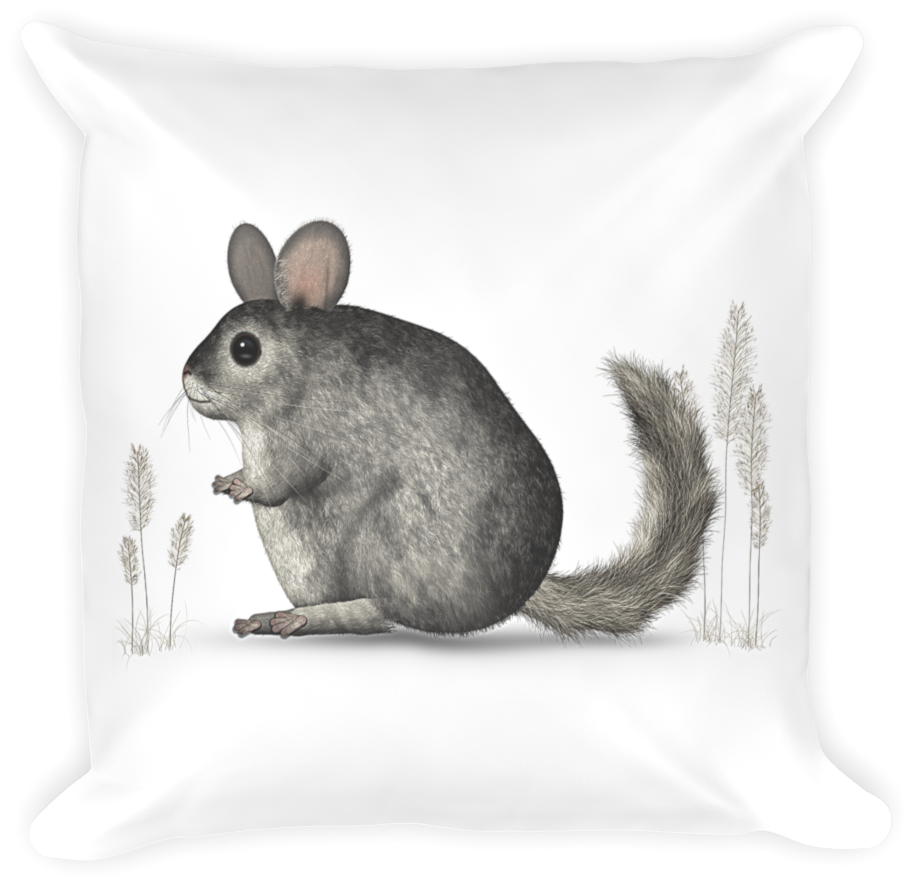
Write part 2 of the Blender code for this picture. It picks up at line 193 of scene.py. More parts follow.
# Folds that the corners throw into the front panel. Each runs from start to end (millimetres in
# plan), bowed to its left by bend, and stands up (or sinks, if negative) by height. left and right
# are its half widths, as seen looking from start to end: narrower at its start and wider at its end
# by the share spread. rise and fade are the shares of its length over which it grows and dies, and
# square is how flat its back and how sharp its shoulders are (2 for a plain swell).
FOLDS = [
    # top left: the long ridge, with a sharp upper shoulder
    {"start": (-218, 215), "end": (-49, 62), "height": 7.1, "left": 24, "right": 18, "rise": 0.08, "fade": 0.46, "spread": 0.60, "bend": 4.1, "square": 1.7},
    # top left: the full fold beside it, out of the ear's lower neck
    {"start": (-188, 188), "end": (-73, 75), "height": 3.9, "left": 18, "right": 54, "rise": 0.41, "fade": 0.90, "spread": 0.62, "bend": -3.2, "square": 3.0},
    # top right: the broad main ridge
    {"start": (170, 203), "end": (15, 55), "height": 4.1, "left": 38, "right": 20, "rise": 0.25, "fade": 0.76, "spread": 0.71, "bend": 5.2, "square": 2.2},
    # top right: the valley that parts it from the lower ridge
    {"start": (202, 177), "end": (16, -17), "height": -5.7, "left": 21, "right": 29, "rise": 0.08, "fade": 0.50, "spread": 0.53, "bend": -9.7, "square": 1.7},
    # top right: the thin lower ridge
    {"start": (197, 185), "end": (92, 79), "height": 4.6, "left": 31, "right": 19, "rise": 0.16, "fade": 0.51, "spread": 0.10, "bend": -4.1, "square": 2.8},
    # bottom right: the fullness above the ridge
    {"start": (195, -165), "end": (64, -156), "height": 6.8, "left": 51, "right": 70, "rise": 0.08, "fade": 0.50, "spread": 0.80, "bend": -22.0, "square": 1.7},
    # bottom right: the hollow under the ridge
    {"start": (206, -224), "end": (63, -76), "height": -7.0, "left": 18, "right": 70, "rise": 0.48, "fade": 0.40, "spread": 0.80, "bend": 9.0, "square": 3.2},
    # bottom left: the ridge
    {"start": (-210, -186), "end": (-74, -80), "height": 2.2, "left": 14, "right": 14, "rise": 0.08, "fade": 0.58, "spread": 0.78, "bend": 3.4, "square": 1.9},
    # bottom left: the soft fold under it
    {"start": (-199, -211), "end": (-66, -104), "height": 2.6, "left": 14, "right": 16, "rise": 0.08, "fade": 0.40, "spread": 0.48, "bend": -5.7, "square": 1.7},
    # top side: a slack fold left of the middle
    {"start": (-51, 205), "end": (8, -14), "height": 2.0, "left": 22, "right": 70, "rise": 0.24, "fade": 0.95, "spread": 0.10, "bend": 16.0, "square": 2.3},
    # top side: a slack fold right of the middle
    {"start": (157, 194), "end": (-78, 8), "height": 3.4, "left": 24, "right": 64, "rise": 0.31, "fade": 0.50, "spread": 0.80, "bend": -1.0, "square": 3.5},
    # top side: a swelling beside the left ear
    {"start": (-66, 202), "end": (-158, 141), "height": 1.2, "left": 70, "right": 70, "rise": 0.23, "fade": 0.40, "spread": 0.10, "bend": 4.5, "square": 2.2},
    # left side: the broad hollow above the middle
    {"start": (-217, 165), "end": (6, 28), "height": -3.4, "left": 59, "right": 49, "rise": 0.31, "fade": 0.50, "spread": 0.10, "bend": -5.8, "square": 2.2},
    # left side: a swelling below the middle
    {"start": (-196, -138), "end": (-136, -95), "height": 0.5, "left": 13, "right": 10, "rise": 0.08, "fade": 0.40, "spread": 0.10, "bend": 5.5, "square": 2.3},
    # bottom side: a swelling in the middle
    {"start": (3, -211), "end": (16, -78), "height": 4.1, "left": 70, "right": 70, "rise": 0.32, "fade": 0.40, "spread": 0.23, "bend": -20.2, "square": 2.5},
    # right side: a swelling below the middle
    {"start": (199, -110), "end": (123, -102), "height": 1.8, "left": 29, "right": 31, "rise": 0.42, "fade": 0.42, "spread": 0.10, "bend": -22.0, "square": 4.8},
    # top right: the crest of the main ridge, at the ear
    {"start": (178, 224), "end": (29, 59), "height": 2.9, "left": 18, "right": 22, "rise": 0.08, "fade": 0.95, "spread": 0.76, "bend": 3.9, "square": 2.3},
    # top right: the crisp crest out of the ear's lower neck
    {"start": (183, 157), "end": (92, 41), "height": 2.2, "left": 15, "right": 15, "rise": 0.08, "fade": 0.62, "spread": 0.80, "bend": -5.0, "square": 1.7},
    # bottom right: the shoulder over the hollow
    {"start": (177, -211), "end": (57, -111), "height": 3.8, "left": 18, "right": 18, "rise": 0.13, "fade": 0.41, "spread": 0.37, "bend": 9.5, "square": 1.7},
    # top left: the lower shoulder, out of the ear's neck
    {"start": (-186, 171), "end": (-108, 91), "height": 2.7, "left": 29, "right": 19, "rise": 0.38, "fade": 0.82, "spread": 0.13, "bend": 12.2, "square": 3.9},
]


def smooth(t):
    t = np.clip(t, 0, 1)
    return t * t * (3 - 2 * t)


EVENED = 22.0          # millimetres over which a side is evened out, as the middle of the cover sees it
EDGE_REACH = 0.15      # share of the cover over which a side's own turns die out


def evened_side(line, axis):
    """A table of a side's places along one axis by its places along the other, with its turns smoothed out."""
    order = np.argsort(line[:, 1 - axis])
    along = np.arange(-230.0, 230.5, 1.0)
    across = np.interp(along, line[order, 1 - axis], line[order, axis])
    reach = int(3 * EVENED)
    weight = np.exp(-0.5 * (np.arange(-reach, reach + 1) / EVENED) ** 2)
    return along, np.convolve(np.pad(across, reach, mode="edge"), weight / weight.sum(), "valid")


def evenly(plan, u, v):
    """How far across and up the cover a place in plan lies, each from 0 on one side to 1 on the other."""
    out = []
    for axis, along, low, high in (
        (0, v, OUTLINE["left"], OUTLINE["right"][::-1]),
        (1, u, OUTLINE["bottom"][::-1], OUTLINE["top"]),
    ):
        place, beside = plan[..., axis], plan[..., 1 - axis]
        a, b = spaced(low, along)[..., axis], spaced(high, along)[..., axis]
        share = np.clip((place - a) / (b - a), 0, 1)
        a, b = np.interp(beside, *evened_side(low, axis)), np.interp(beside, *evened_side(high, axis))
        inside = smooth(np.minimum(share, 1 - share) / EDGE_REACH)
        out.append(share + inside * (np.clip((place - a) / (b - a), 0, 1) - share))
    return out


def crown(plan, u, v):
    """0 on the seam and 1 in the middle: four slopes that melt together towards the corners."""
    u, v = evenly(plan, u, v)
    a = 1 - np.abs(2 * u - 1) ** np.where(u < 0.5, FALL["left"], FALL["right"])
    b = 1 - np.abs(2 * v - 1) ** np.where(v < 0.5, FALL["bottom"], FALL["top"])
    across = {"left": smooth(1 - u), "right": smooth(u)}
    up = {"bottom": smooth(1 - v), "top": smooth(v)}
    ridge = sharpen = bevel = shift = reach = 0
    for name, corner in CORNERS.items():
        end, side = name.split("_")
        share = up[end] * across[side]
        ridge = ridge + corner["ridge"] * share
        sharpen = sharpen + corner["sharpen"] * share
        bevel = bevel + corner["bevel"] * share
        shift = shift + corner["shift"] * share
        reach = reach + corner["reach"] * share
    ridge = np.clip(ridge * (1 + sharpen * (1 - a * b) ** 3), 0.08, 8)
    shift = shift * (1 - smooth(a * b / reach))
    a, b = np.clip(a * (1 + shift), 1e-6, 1), np.clip(b * (1 - shift), 1e-6, 1)
    return (a**-ridge + b**-ridge + (bevel * (a + b)) ** -ridge - 1 - (2 * bevel) ** -ridge) ** (-1 / ridge)


def folds(x, y):
    """Height that the corner folds add at (x, y), in millimetres."""
    out = np.zeros_like(x)
    for f in FOLDS:
        (x0, y0), (x1, y1) = f["start"], f["end"]
        length = math.hypot(x1 - x0, y1 - y0)
        ax, ay = (x1 - x0) / length, (y1 - y0) / length
        t = ((x - x0) * ax + (y - y0) * ay) / length
        on = np.clip(t, 0, 1)
        side = (x - x0) * -ay + (y - y0) * ax - f["bend"] * 4 * on * (1 - on)
        wide = np.where(side > 0, f["left"], f["right"]) * (1 + f["spread"] * (2 * on - 1))
        swell = smooth(t / f["rise"]) * smooth((1 - t) / f["fade"])
        out += f["height"] * swell * np.exp(-(np.abs(side / wide) ** f["square"]))
    return out


def puckers(u, v, seed):
    """Short pleats that the stitching draws up along the seam, in millimetres."""
    rng = np.random.default_rng(seed)
    out = np.zeros_like(u)
    for near, along in ((u, v), (1 - u, v), (v, u), (1 - v, u)):
        at = 0.06
        while at < 0.94:
            wide, reach = rng.uniform(0.010, 0.020), rng.uniform(0.03, 0.085)
            lean, high = rng.uniform(-0.5, 0.5), rng.uniform(0.15, 0.6) * rng.choice([-1, 1], p=[0.6, 0.4])
            offset = along - at - lean * near
            out += high * np.exp(-((offset / wide) ** 2)) * smooth(near / 0.012) * np.exp(-near / reach)
            at += rng.uniform(0.035, 0.085)
    return out


LIP_INSET = 0.45       # how far inside the seam's outer edge the panels start, in millimetres
LIP_PARTS = 0.20       # how far above and below its middle they start


def inward(u, v):
    """Unit steps in plan away from the nearest side, fading out over the first tenth of the cover."""
    e = 0.004
    across = on_cover(np.clip(u + e, 0, 1), v)[..., :2] - on_cover(np.clip(u - e, 0, 1), v)[..., :2]
    up = on_cover(u, np.clip(v + e, 0, 1))[..., :2] - on_cover(u, np.clip(v - e, 0, 1))[..., :2]
    # square to a side, whichever way the rows of the patch run there
    from_side = np.stack([up[..., 1], -up[..., 0]], axis=-1)
    from_end = np.stack([-across[..., 1], across[..., 0]], axis=-1)
    out = 0
    for step, near, sign in ((from_side, u, 1), (from_side, 1 - u, -1), (from_end, v, 1), (from_end, 1 - v, -1)):
        out = out + sign * step / np.linalg.norm(step, axis=-1, keepdims=True) * np.exp(-((near / 0.05) ** 2))[..., None]
    return out / np.maximum(1, np.linalg.norm(out, axis=-1, keepdims=True))


def stuffed(u, v):
    """The front and back panels as stuffed, in millimetres, before the cloth is settled."""
    plan = on_cover(u, v)
    c = crown(plan, u, v)
    plan[..., :2] += inward(u, v) * LIP_INSET
    seam = plan[..., 2] * (1 - smooth(c * 1.2))
    front, back = plan.copy(), plan.copy()
    fold = folds(plan[..., 0], plan[..., 1]) * smooth(c / 0.12)
    front[..., 2] = SEAM_HEIGHT + seam + FRONT_RISE * c + fold + puckers(u, v, 11)
    back[..., 2] = SEAM_HEIGHT + seam - BACK_DROP * c - 0.5 * fold[:, ::-1] + puckers(u, v, 23)
    return front, back


# ---------------------------------------------------------------- the cloth
CLOTH_ROWS = 73
CLOTH_STEPS = 12
CLOTH_SLACK = 0.004    # how much larger the cloth is cut than the shape it starts from
CLOTH_PRESSURE = 0.6
WRINKLE_BLUR = 1.1     # rows over which what the settling changed is evened out


def rest_on_floor(z):
    """Presses heights under the floor up to it, with a soft bend all round."""
    return np.where(z < FLAT_BLEND, np.where(z > -FLAT_BLEND, (z + FLAT_BLEND) ** 2 / (4 * FLAT_BLEND), 0.0), z)


def settle(front, back):
    """Both panels as one closed cloth on its pinned seam, slightly too large for its stuffing, after it settles."""
    n = front.shape[0]
    ids = np.arange(n * n).reshape(n, n)
    under = ids.copy()
    inner = np.zeros((n, n), bool)
    inner[1:-1, 1:-1] = True
    under[inner] = n * n + np.arange(inner.sum())
    places = np.vstack([front.reshape(-1, 3), back[inner]]) * MM
    faces = []
    for grid, turned in ((ids, False), (under, True)):
        q = np.stack([grid[:-1, :-1], grid[:-1, 1:], grid[1:, 1:], grid[1:, :-1]], axis=-1).reshape(-1, 4)
        faces.append(q[:, ::-1] if turned else q)
    mesh = bpy.data.meshes.new("cloth")
    mesh.from_pydata(places.tolist(), [], np.vstack(faces).tolist())
    cloth = bpy.data.objects.new("cloth", mesh)
    bpy.context.scene.collection.objects.link(cloth)
    pinned = cloth.vertex_groups.new(name="seam")
    pinned.add([int(i) for i in ids[~inner]], 1.0, "REPLACE")
    slack = cloth.vertex_groups.new(name="slack")
    slack.add(list(range(len(places))), 1.0, "REPLACE")
    modifier = cloth.modifiers.new("cloth", "CLOTH")
    s = modifier.settings
    s.quality = 5
    s.mass = 0.2
    s.tension_stiffness = s.compression_stiffness = 40
    s.shear_stiffness = 15
    s.bending_stiffness = 2.0
    s.tension_damping = s.compression_damping = s.shear_damping = 10
    s.bending_damping = 2.0
    s.air_damping = 3.0
    s.vertex_group_mass = "seam"
    s.pin_stiffness = 1.0
    s.use_pressure = True
    s.uniform_pressure_force = CLOTH_PRESSURE
    s.vertex_group_shrink = "slack"
    s.shrink_min = 0.0
    s.shrink_max = -CLOTH_SLACK
    s.effector_weights.gravity = 0.0
    modifier.collision_settings.use_collision = False
    modifier.collision_settings.use_self_collision = False
    modifier.point_cache.frame_start = 1
    modifier.point_cache.frame_end = CLOTH_STEPS
    scene = bpy.context.scene
    scene.frame_start, scene.frame_end = 1, CLOTH_STEPS
    for step in range(1, CLOTH_STEPS + 1):
        scene.frame_set(step)
    settled = cloth.evaluated_get(bpy.context.evaluated_depsgraph_get())
    got = np.empty(len(places) * 3, np.float32)
    settled.data.vertices.foreach_get("co", got)
    got = got.reshape(-1, 3).astype(float) / MM
    bpy.data.objects.remove(cloth)
    bpy.data.meshes.remove(mesh)
    scene.frame_set(1)
    return got[ids], got[under]


def evened(change, rows):
    """A grid's values with short ripples taken out: a Gaussian of that many rows, that leaves the seam alone."""
    reach = int(3 * rows + 1)
    weight = np.exp(-0.5 * (np.arange(-reach, reach + 1) / rows) ** 2)
    weight /= weight.sum()
    for axis in (0, 1):
        padded = np.pad(change, [(reach, reach) if k == axis else (0, 0) for k in range(3)], mode="reflect", reflect_type="odd")
        change = np.apply_along_axis(lambda line: np.convolve(line, weight, "valid"), axis, padded)
    return change


def settled_changes():
    """What the settling does to the front and back panels, on an even grid of the cover's square, in millimetres."""
    t = np.linspace(0, 1, CLOTH_ROWS)
    start = stuffed(*np.meshgrid(t, t))
    return tuple(evened(b - a, WRINKLE_BLUR) for a, b in zip(start, settle(*start)))


def laid_out(change, side, u, v):
    """One panel (side 0 is the front, 1 the back) at every pair of the places u across and v up, in millimetres."""
    panel = stuffed(*np.meshgrid(u, v))[side] + finely(change, u, v)
    if side == 0:
        panel[..., 2] += LIP_PARTS
    else:
        panel[..., 2] = rest_on_floor(panel[..., 2] - LIP_PARTS)
        panel[..., 2] -= panel[..., 2].min()
    return panel
# ---------------------------------------------------------------- the printed picture
# A generic picture painted hair by hair: a grey chinchilla that sits up among dry grasses. It is laid out in
# millimetres with the ground at y = 0, and painted in display tones from 0 to 255 on white.
INK_GRAIN = 0.28                      # closeness of the painting's own points
INK_BOX = (-147.0, 251.0, -32.0, 242.0)
INK_MIDDLE = (52.0, 101.0)            # the place in the painting that falls on the cover's middle
INK_SCALE = 0.87                      # millimetres on the cover to one of the painting's
INK_DEPTH = 1.22                      # how far the greys are darkened, as a power
INK_LIGHT = np.array([-0.38, 0.72, 0.58])


def lattice(x, y, size, seed):
    """Smooth noise from -1 to 1 with features about size across."""
    table = np.random.default_rng(seed).uniform(-1, 1, (128, 128))
    x, y = x / size, y / size
    i, j = np.floor(x).astype(int), np.floor(y).astype(int)
    a, b = smooth(x - i), smooth(y - j)
    at = lambda i, j: table[j % 128, i % 128]
    return (at(i, j) * (1 - a) + at(i + 1, j) * a) * (1 - b) + (at(i, j + 1) * (1 - a) + at(i + 1, j + 1) * a) * b


def ball(p, centre, radii, turn=0.0):
    """Distance, nearly, to an ellipsoid turned in the picture's plane."""
    c, s = math.cos(math.radians(turn)), math.sin(math.radians(turn))
    x, y, z = (p[..., k] - centre[k] for k in range(3))
    x, y = c * x + s * y, c * y - s * x
    a = np.sqrt((x / radii[0]) ** 2 + (y / radii[1]) ** 2 + (z / radii[2]) ** 2)
    b = np.sqrt((x / radii[0] ** 2) ** 2 + (y / radii[1] ** 2) ** 2 + (z / radii[2] ** 2) ** 2)
    return a * (a - 1) / np.maximum(b, 1e-6)


def limb(p, points, radii):
    """Distance to a limb that runs through points with a radius at each."""
    points = np.array(points, dtype=np.float32)
    best = None
    for a, b, ra, rb in zip(points, points[1:], radii, radii[1:]):
        along = b - a
        h = np.clip(((p - a) @ along) / (along @ along), 0, 1)
        d = np.linalg.norm(p - a - h[..., None] * along, axis=-1) - (ra + h * (rb - ra))
        best = d if best is None else melt(best, d, 3.0)
    return best


def melt(a, b, reach):
    """The smaller of two distances, rounded where they meet."""
    h = np.clip(0.5 + 0.5 * (b - a) / reach, 0, 1)
    return b + (a - b) * h - reach * h * (1 - h)


class Relief:
    """One part of the animal, seen from the front: its outline, height and slope on an even grid."""

    def __init__(self, shape, box, depth, step=1.2, slices=44):
        self.x0, self.x1, self.y0, self.y1 = box
        self.step = step
        x = np.arange(self.x0, self.x1 + step, step)
        y = np.arange(self.y0, self.y1 + step, step)
        gx, gy = np.meshgrid(x, y)
        z = np.linspace(depth[1], depth[0], slices)
        high = np.full(gx.shape, np.nan)
        edge = np.full(gx.shape, 1e3)
        before = None
        for level in z:
            d = shape(np.stack([gx, gy, np.full(gx.shape, level)], axis=-1).astype(np.float32))
            if before is not None:
                cross = np.isnan(high) & (d < 0)
                share = before / np.maximum(before - d, 1e-6)
                high[cross] = (level + (z[0] - z[1]) * (1 - share))[cross]
            edge = np.minimum(edge, d)
            before = d
        self.edge = edge
        low = np.nanmin(high)
        high = np.where(np.isnan(high), low, high)
        for _ in range(2):
            high = (high + np.roll(high, 1, 0) + np.roll(high, -1, 0) + np.roll(high, 1, 1) + np.roll(high, -1, 1)) / 5
        dy, dx = np.gradient(high, step)
        n = np.stack([-dx, -dy, np.ones_like(dx)], axis=-1)
        self.high, self.normal = high, n / np.linalg.norm(n, axis=-1, keepdims=True)

    def look(self, grid, x, y):
        """The grid's value at places x, y."""
        fx = np.clip((x - self.x0) / self.step, 0, grid.shape[1] - 1.001)
        fy = np.clip((y - self.y0) / self.step, 0, grid.shape[0] - 1.001)
        i, j = fx.astype(int), fy.astype(int)
        a, b = fx - i, fy - j
        if grid.ndim == 3:
            a, b = a[..., None], b[..., None]
        return (grid[j, i] * (1 - a) + grid[j, i + 1] * a) * (1 - b) + (grid[j + 1, i] * (1 - a) + grid[j + 1, i + 1] * a) * b

    def lit(self, x, y, depth=0.55):
        """Soft light on the part: about 1 where it faces the light."""
        n = self.look(self.normal, x, y)
        light = INK_LIGHT / np.linalg.norm(INK_LIGHT)
        return 1 - depth + depth * np.clip(0.30 + 0.85 * (n @ light), 0, 1.1)


class Sheet:
    """The painting: tones on an even grid of points, and the ways to put paint on it."""

    def __init__(self):
        self.x0, x1, self.y0, y1 = INK_BOX
        self.wide = int((x1 - self.x0) / INK_GRAIN) + 1
        self.tall = int((y1 - self.y0) / INK_GRAIN) + 1
        self.tone = np.full((self.tall, self.wide, 3), 255.0)

    def window(self, box):
        i0 = max(int((box[0] - self.x0) / INK_GRAIN), 0)
        i1 = min(int((box[1] - self.x0) / INK_GRAIN) + 2, self.wide)
        j0 = max(int((box[2] - self.y0) / INK_GRAIN), 0)
        j1 = min(int((box[3] - self.y0) / INK_GRAIN) + 2, self.tall)
        x = self.x0 + INK_GRAIN * np.arange(i0, i1)
        y = self.y0 + INK_GRAIN * np.arange(j0, j1)
        return (slice(j0, j1), slice(i0, i1)), *np.meshgrid(x, y)

    def wash(self, box, cover, colour):
        """Lays colour over the box; cover and colour are functions of place, or plain values."""
        part, x, y = self.window(box)
        c = np.asarray(cover(x, y))[..., None]
        colour = colour(x, y) if callable(colour) else np.asarray(colour, dtype=float)
        self.tone[part] = self.tone[part] * (1 - c) + colour * c

    def darken(self, box, by):
        part, x, y = self.window(box)
        self.tone[part] *= np.asarray(by(x, y))[..., None]

    def hairs(self, x, y, turn, length, colour, strength, bend=0.0, taper=0.6, batches=24, order=None):
        """Fine curved strokes from x, y along the angle turn; later ones lie over earlier ones."""
        count = len(x)
        length, strength, bend = (np.broadcast_to(np.asarray(a, dtype=float), (count,)) for a in (length, strength, bend))
        if order is not None:
            rank = np.argsort(order, kind="stable")
            x, y, turn, length, colour, strength, bend = (a[rank] for a in (x, y, turn, length, colour, strength, bend))
        for lot in np.array_split(np.arange(count), min(batches, max(1, count // 40))):
            steps = max(3, int(length[lot].max() / (INK_GRAIN * 0.9)))
            t = np.linspace(0, 1, steps)[None, :]
            reach = length[lot, None]
            angle = turn[lot, None] + bend[lot, None] * t
            px = x[lot, None] + reach * t * np.cos(angle)
            py = y[lot, None] + reach * t * np.sin(angle)
            ink = strength[lot, None] * (1 - t ** 2) ** taper * (reach / (steps * INK_GRAIN * 0.9))
            tone = colour[lot][:, None, :] * (0.90 + 0.20 * np.sin(math.pi * np.clip(t * 1.25, 0, 1)))[..., None]
            fx, fy = (px - self.x0) / INK_GRAIN, (py - self.y0) / INK_GRAIN
            ink = ink * ((fx > 1) & (fx < self.wide - 3) & (fy > 1) & (fy < self.tall - 3))
            fx, fy = np.clip(fx, 1, self.wide - 3).ravel(), np.clip(fy, 1, self.tall - 3).ravel()
            i0, i1, j0, j1 = int(fx.min()), int(fx.max()) + 2, int(fy.min()), int(fy.max()) + 2
            i, j = fx.astype(int), fy.astype(int)
            a, b = fx - i, fy - j
            wide, tall = i1 - i0, j1 - j0
            spot = (j - j0) * wide + (i - i0)
            weight, sums = np.zeros(wide * tall), np.zeros((3, wide * tall))
            ink, tone = ink.ravel(), np.broadcast_to(tone, px.shape + (3,)).reshape(-1, 3)
            for shift, w in ((0, (1 - a) * (1 - b)), (1, a * (1 - b)), (wide, (1 - a) * b), (wide + 1, a * b)):
                w = w * ink
                weight += np.bincount(spot + shift, w, wide * tall)[: wide * tall]
                for k in range(3):
                    sums[k] += np.bincount(spot + shift, w * tone[:, k], wide * tall)[: wide * tall]
            cover = 1 - np.exp(-weight)
            part = (slice(j0, j1), slice(i0, i1))
            cover, mixed = cover.reshape(tall, wide, 1), (sums / np.maximum(weight, 1e-9)).T.reshape(tall, wide, 3)
            self.tone[part] = self.tone[part] * (1 - cover) + mixed * cover


def tinted(tone, warm=0.0):
    """Greys that lean to blue where dark and to cream where light, with nearly plain whites."""
    tone = np.asarray(tone, dtype=float)
    u = np.clip(tone / 210.0, 0, 1.1)
    cream = 9.0 * u ** 2 * (1 - smooth((u - 0.95) / 0.2))
    return np.stack([tone + 1.5 * warm, tone - 0.3 * u + 0.2 * warm, tone + 4.0 * (1 - u) - cream - 2.0 * warm], axis=-1)


def guided(guides):
    """The hair's direction, blended between guides that each hold x, y and an angle in degrees."""
    g = np.array(guides, dtype=float)
    ux, uy = np.cos(np.radians(g[:, 2])), np.sin(np.radians(g[:, 2]))

    def turn(x, y):
        w = 1 / ((x[..., None] - g[:, 0]) ** 2 + (y[..., None] - g[:, 1]) ** 2 + 30.0) ** 1.6
        return np.arctan2((w * uy).sum(-1), (w * ux).sum(-1))

    return turn


def from_line(x, y, points):
    """Distance from places to a line through points, and how far along it (0 to 1) the nearest place is."""
    points = np.array(points, dtype=float)
    spans = np.linalg.norm(np.diff(points, axis=0), axis=1)
    start = np.r_[0.0, np.cumsum(spans)[:-1]]
    best, where = np.full(np.shape(x), 1e9), np.zeros(np.shape(x))
    for a, b, s, l in zip(points, points[1:], start, spans):
        h = np.clip(((x - a[0]) * (b[0] - a[0]) + (y - a[1]) * (b[1] - a[1])) / l**2, 0, 1)
        d = np.hypot(x - a[0] - h * (b[0] - a[0]), y - a[1] - h * (b[1] - a[1]))
        closer = d < best
        best, where = np.where(closer, d, best), np.where(closer, s + h * l, where)
    return best, where / spans.sum()


def fur(sheet, relief, rng, count, turn, tone, length, strength=0.55, wander=0.22, mottle=24.0, grain=2.6, light=0.5, warm=0.0, fade=None, order=None, spread=0.4, inset=0.3, batches=26, trim=1.0):
    """Covers a part with hair: its tone is a function of place, broken up by tufts and by single light and dark hairs."""
    x = rng.uniform(relief.x0, relief.x1, count * 3)
    y = rng.uniform(relief.y0, relief.y1, count * 3)
    inside = relief.look(relief.edge, x, y) < -inset
    x, y = x[inside][:count], y[inside][:count]
    if fade is not None:
        stay = rng.uniform(0, 1, len(x)) < fade(x, y)
        x, y = x[stay], y[stay]
    angle = turn(x, y)
    # flecks: drawn out along the hair, sharper than plain noise, in clouds of more and of less contrast
    flecks = lattice(x + 0.35 * y, y * 0.62, grain, 3) + 0.55 * lattice(x, y, grain * 2.1, 4)
    flecks = np.tanh(1.9 * flecks) * (0.75 + 0.35 * lattice(x, y, 17.0, 7)) + 0.35 * lattice(x, y, grain * 6, 5)
    value = tone(x, y) * relief.lit(x, y, light) + mottle * flecks + rng.normal(0, mottle * spread, len(x))
    colour = tinted(np.clip(value, 24, 244), warm)
    turned = angle + rng.normal(0, wander, len(x)) + 0.35 * lattice(x, y, 9.0, 6)
    reach = (length(x, y) if callable(length) else length) * rng.uniform(0.6, 1.25, len(x))
    reach = reach * (1 - 0.45 * smooth((relief.look(relief.edge, x, y) + 4.0) / 4.0) * trim)
    sheet.hairs(
        x, y, turned, reach, colour, strength * rng.uniform(0.6, 1.2, len(x)),
        bend=rng.normal(0, 0.25, len(x)), batches=batches, order=None if order is None else order(x, y) + rng.normal(0, 7, len(x)),
    )


def under(relief, tone, light=0.5, mottle=0.0):
    """The plain coat below the hair: cover and colour as functions of place."""
    cover = lambda x, y: smooth((0.5 - relief.look(relief.edge, x, y)) / 1.2)
    colour = lambda x, y: tinted(np.clip(tone(x, y) * relief.lit(x, y, light) + mottle * lattice(x, y, 4.0, 8), 18, 244), 1.5)
    return cover, colour


EYE = (-63.0, 156.0)
# where the animal's back and its pale underside run
BACK_LINE = [(-101, 145), (-90, 160), (-70, 178), (-42, 187), (-6, 182), (36, 172), (78, 150), (108, 112), (118, 70), (110, 32), (100, 12)]
BELLY_LINE = [(-92, 120), (-76, 110), (-69, 92), (-62, 62), (-46, 32), (-34, 10)]


def coat(x, y):
    """Tones of the body: dark along the back, silvery flanks, a pale throat, chest and belly."""
    d, s = from_line(x, y, BACK_LINE)
    wobble = 5.0 * lattice(x, y, 14.0, 11) + 3.0 * lattice(x, y, 5.0, 12)
    tone = 58 + 100 * smooth((d + wobble - 2) / (54 - 28 * smooth((0.34 - s) / 0.16)))
    # darker bands where the coat parts as the animal bends
    bands = lattice(x * 0.9 + y * 0.55, y * 0.5 - x * 0.25, 9.5, 13)
    tone -= 58 * np.clip(bands - 0.12, 0, 1) * smooth((d - 8) / 22) * smooth((x + 48) / 24)
    tone += 18 * smooth((x - 4) / 30) * smooth((74 - y) / 40)
    e, _ = from_line(x, y, BELLY_LINE)
    pale = smooth((25 - e + 1.2 * wobble) / 13)
    tone = tone * (1 - pale) + 238 * pale
    # a pale ring about the eye and pale cheek, a darker smudge before the eye and below the ear
    eye = np.hypot((x - EYE[0]) / 1.05, (y - EYE[1]) / 1.0)
    tone += 50 * np.exp(-((eye - 12.5) / 4.5) ** 2) * smooth((x + 88) / 12)
    tone += 24 * np.exp(-(((x + 66) / 17) ** 2 + ((y - 133) / 9) ** 2))
    tone += 30 * np.exp(-(((x + 88) / 9) ** 2 + ((y - 134) / 6) ** 2))
    tone -= 34 * np.exp(-(((x + 37) / 6) ** 2 + ((y - 134) / 17) ** 2))
    tone -= 20 * np.exp(-(((x + 86) / 5) ** 2 + ((y - 150) / 8) ** 2))
    # the shade close to the ground
    return tone * (1 - 0.45 * smooth((20 - y) / 22))


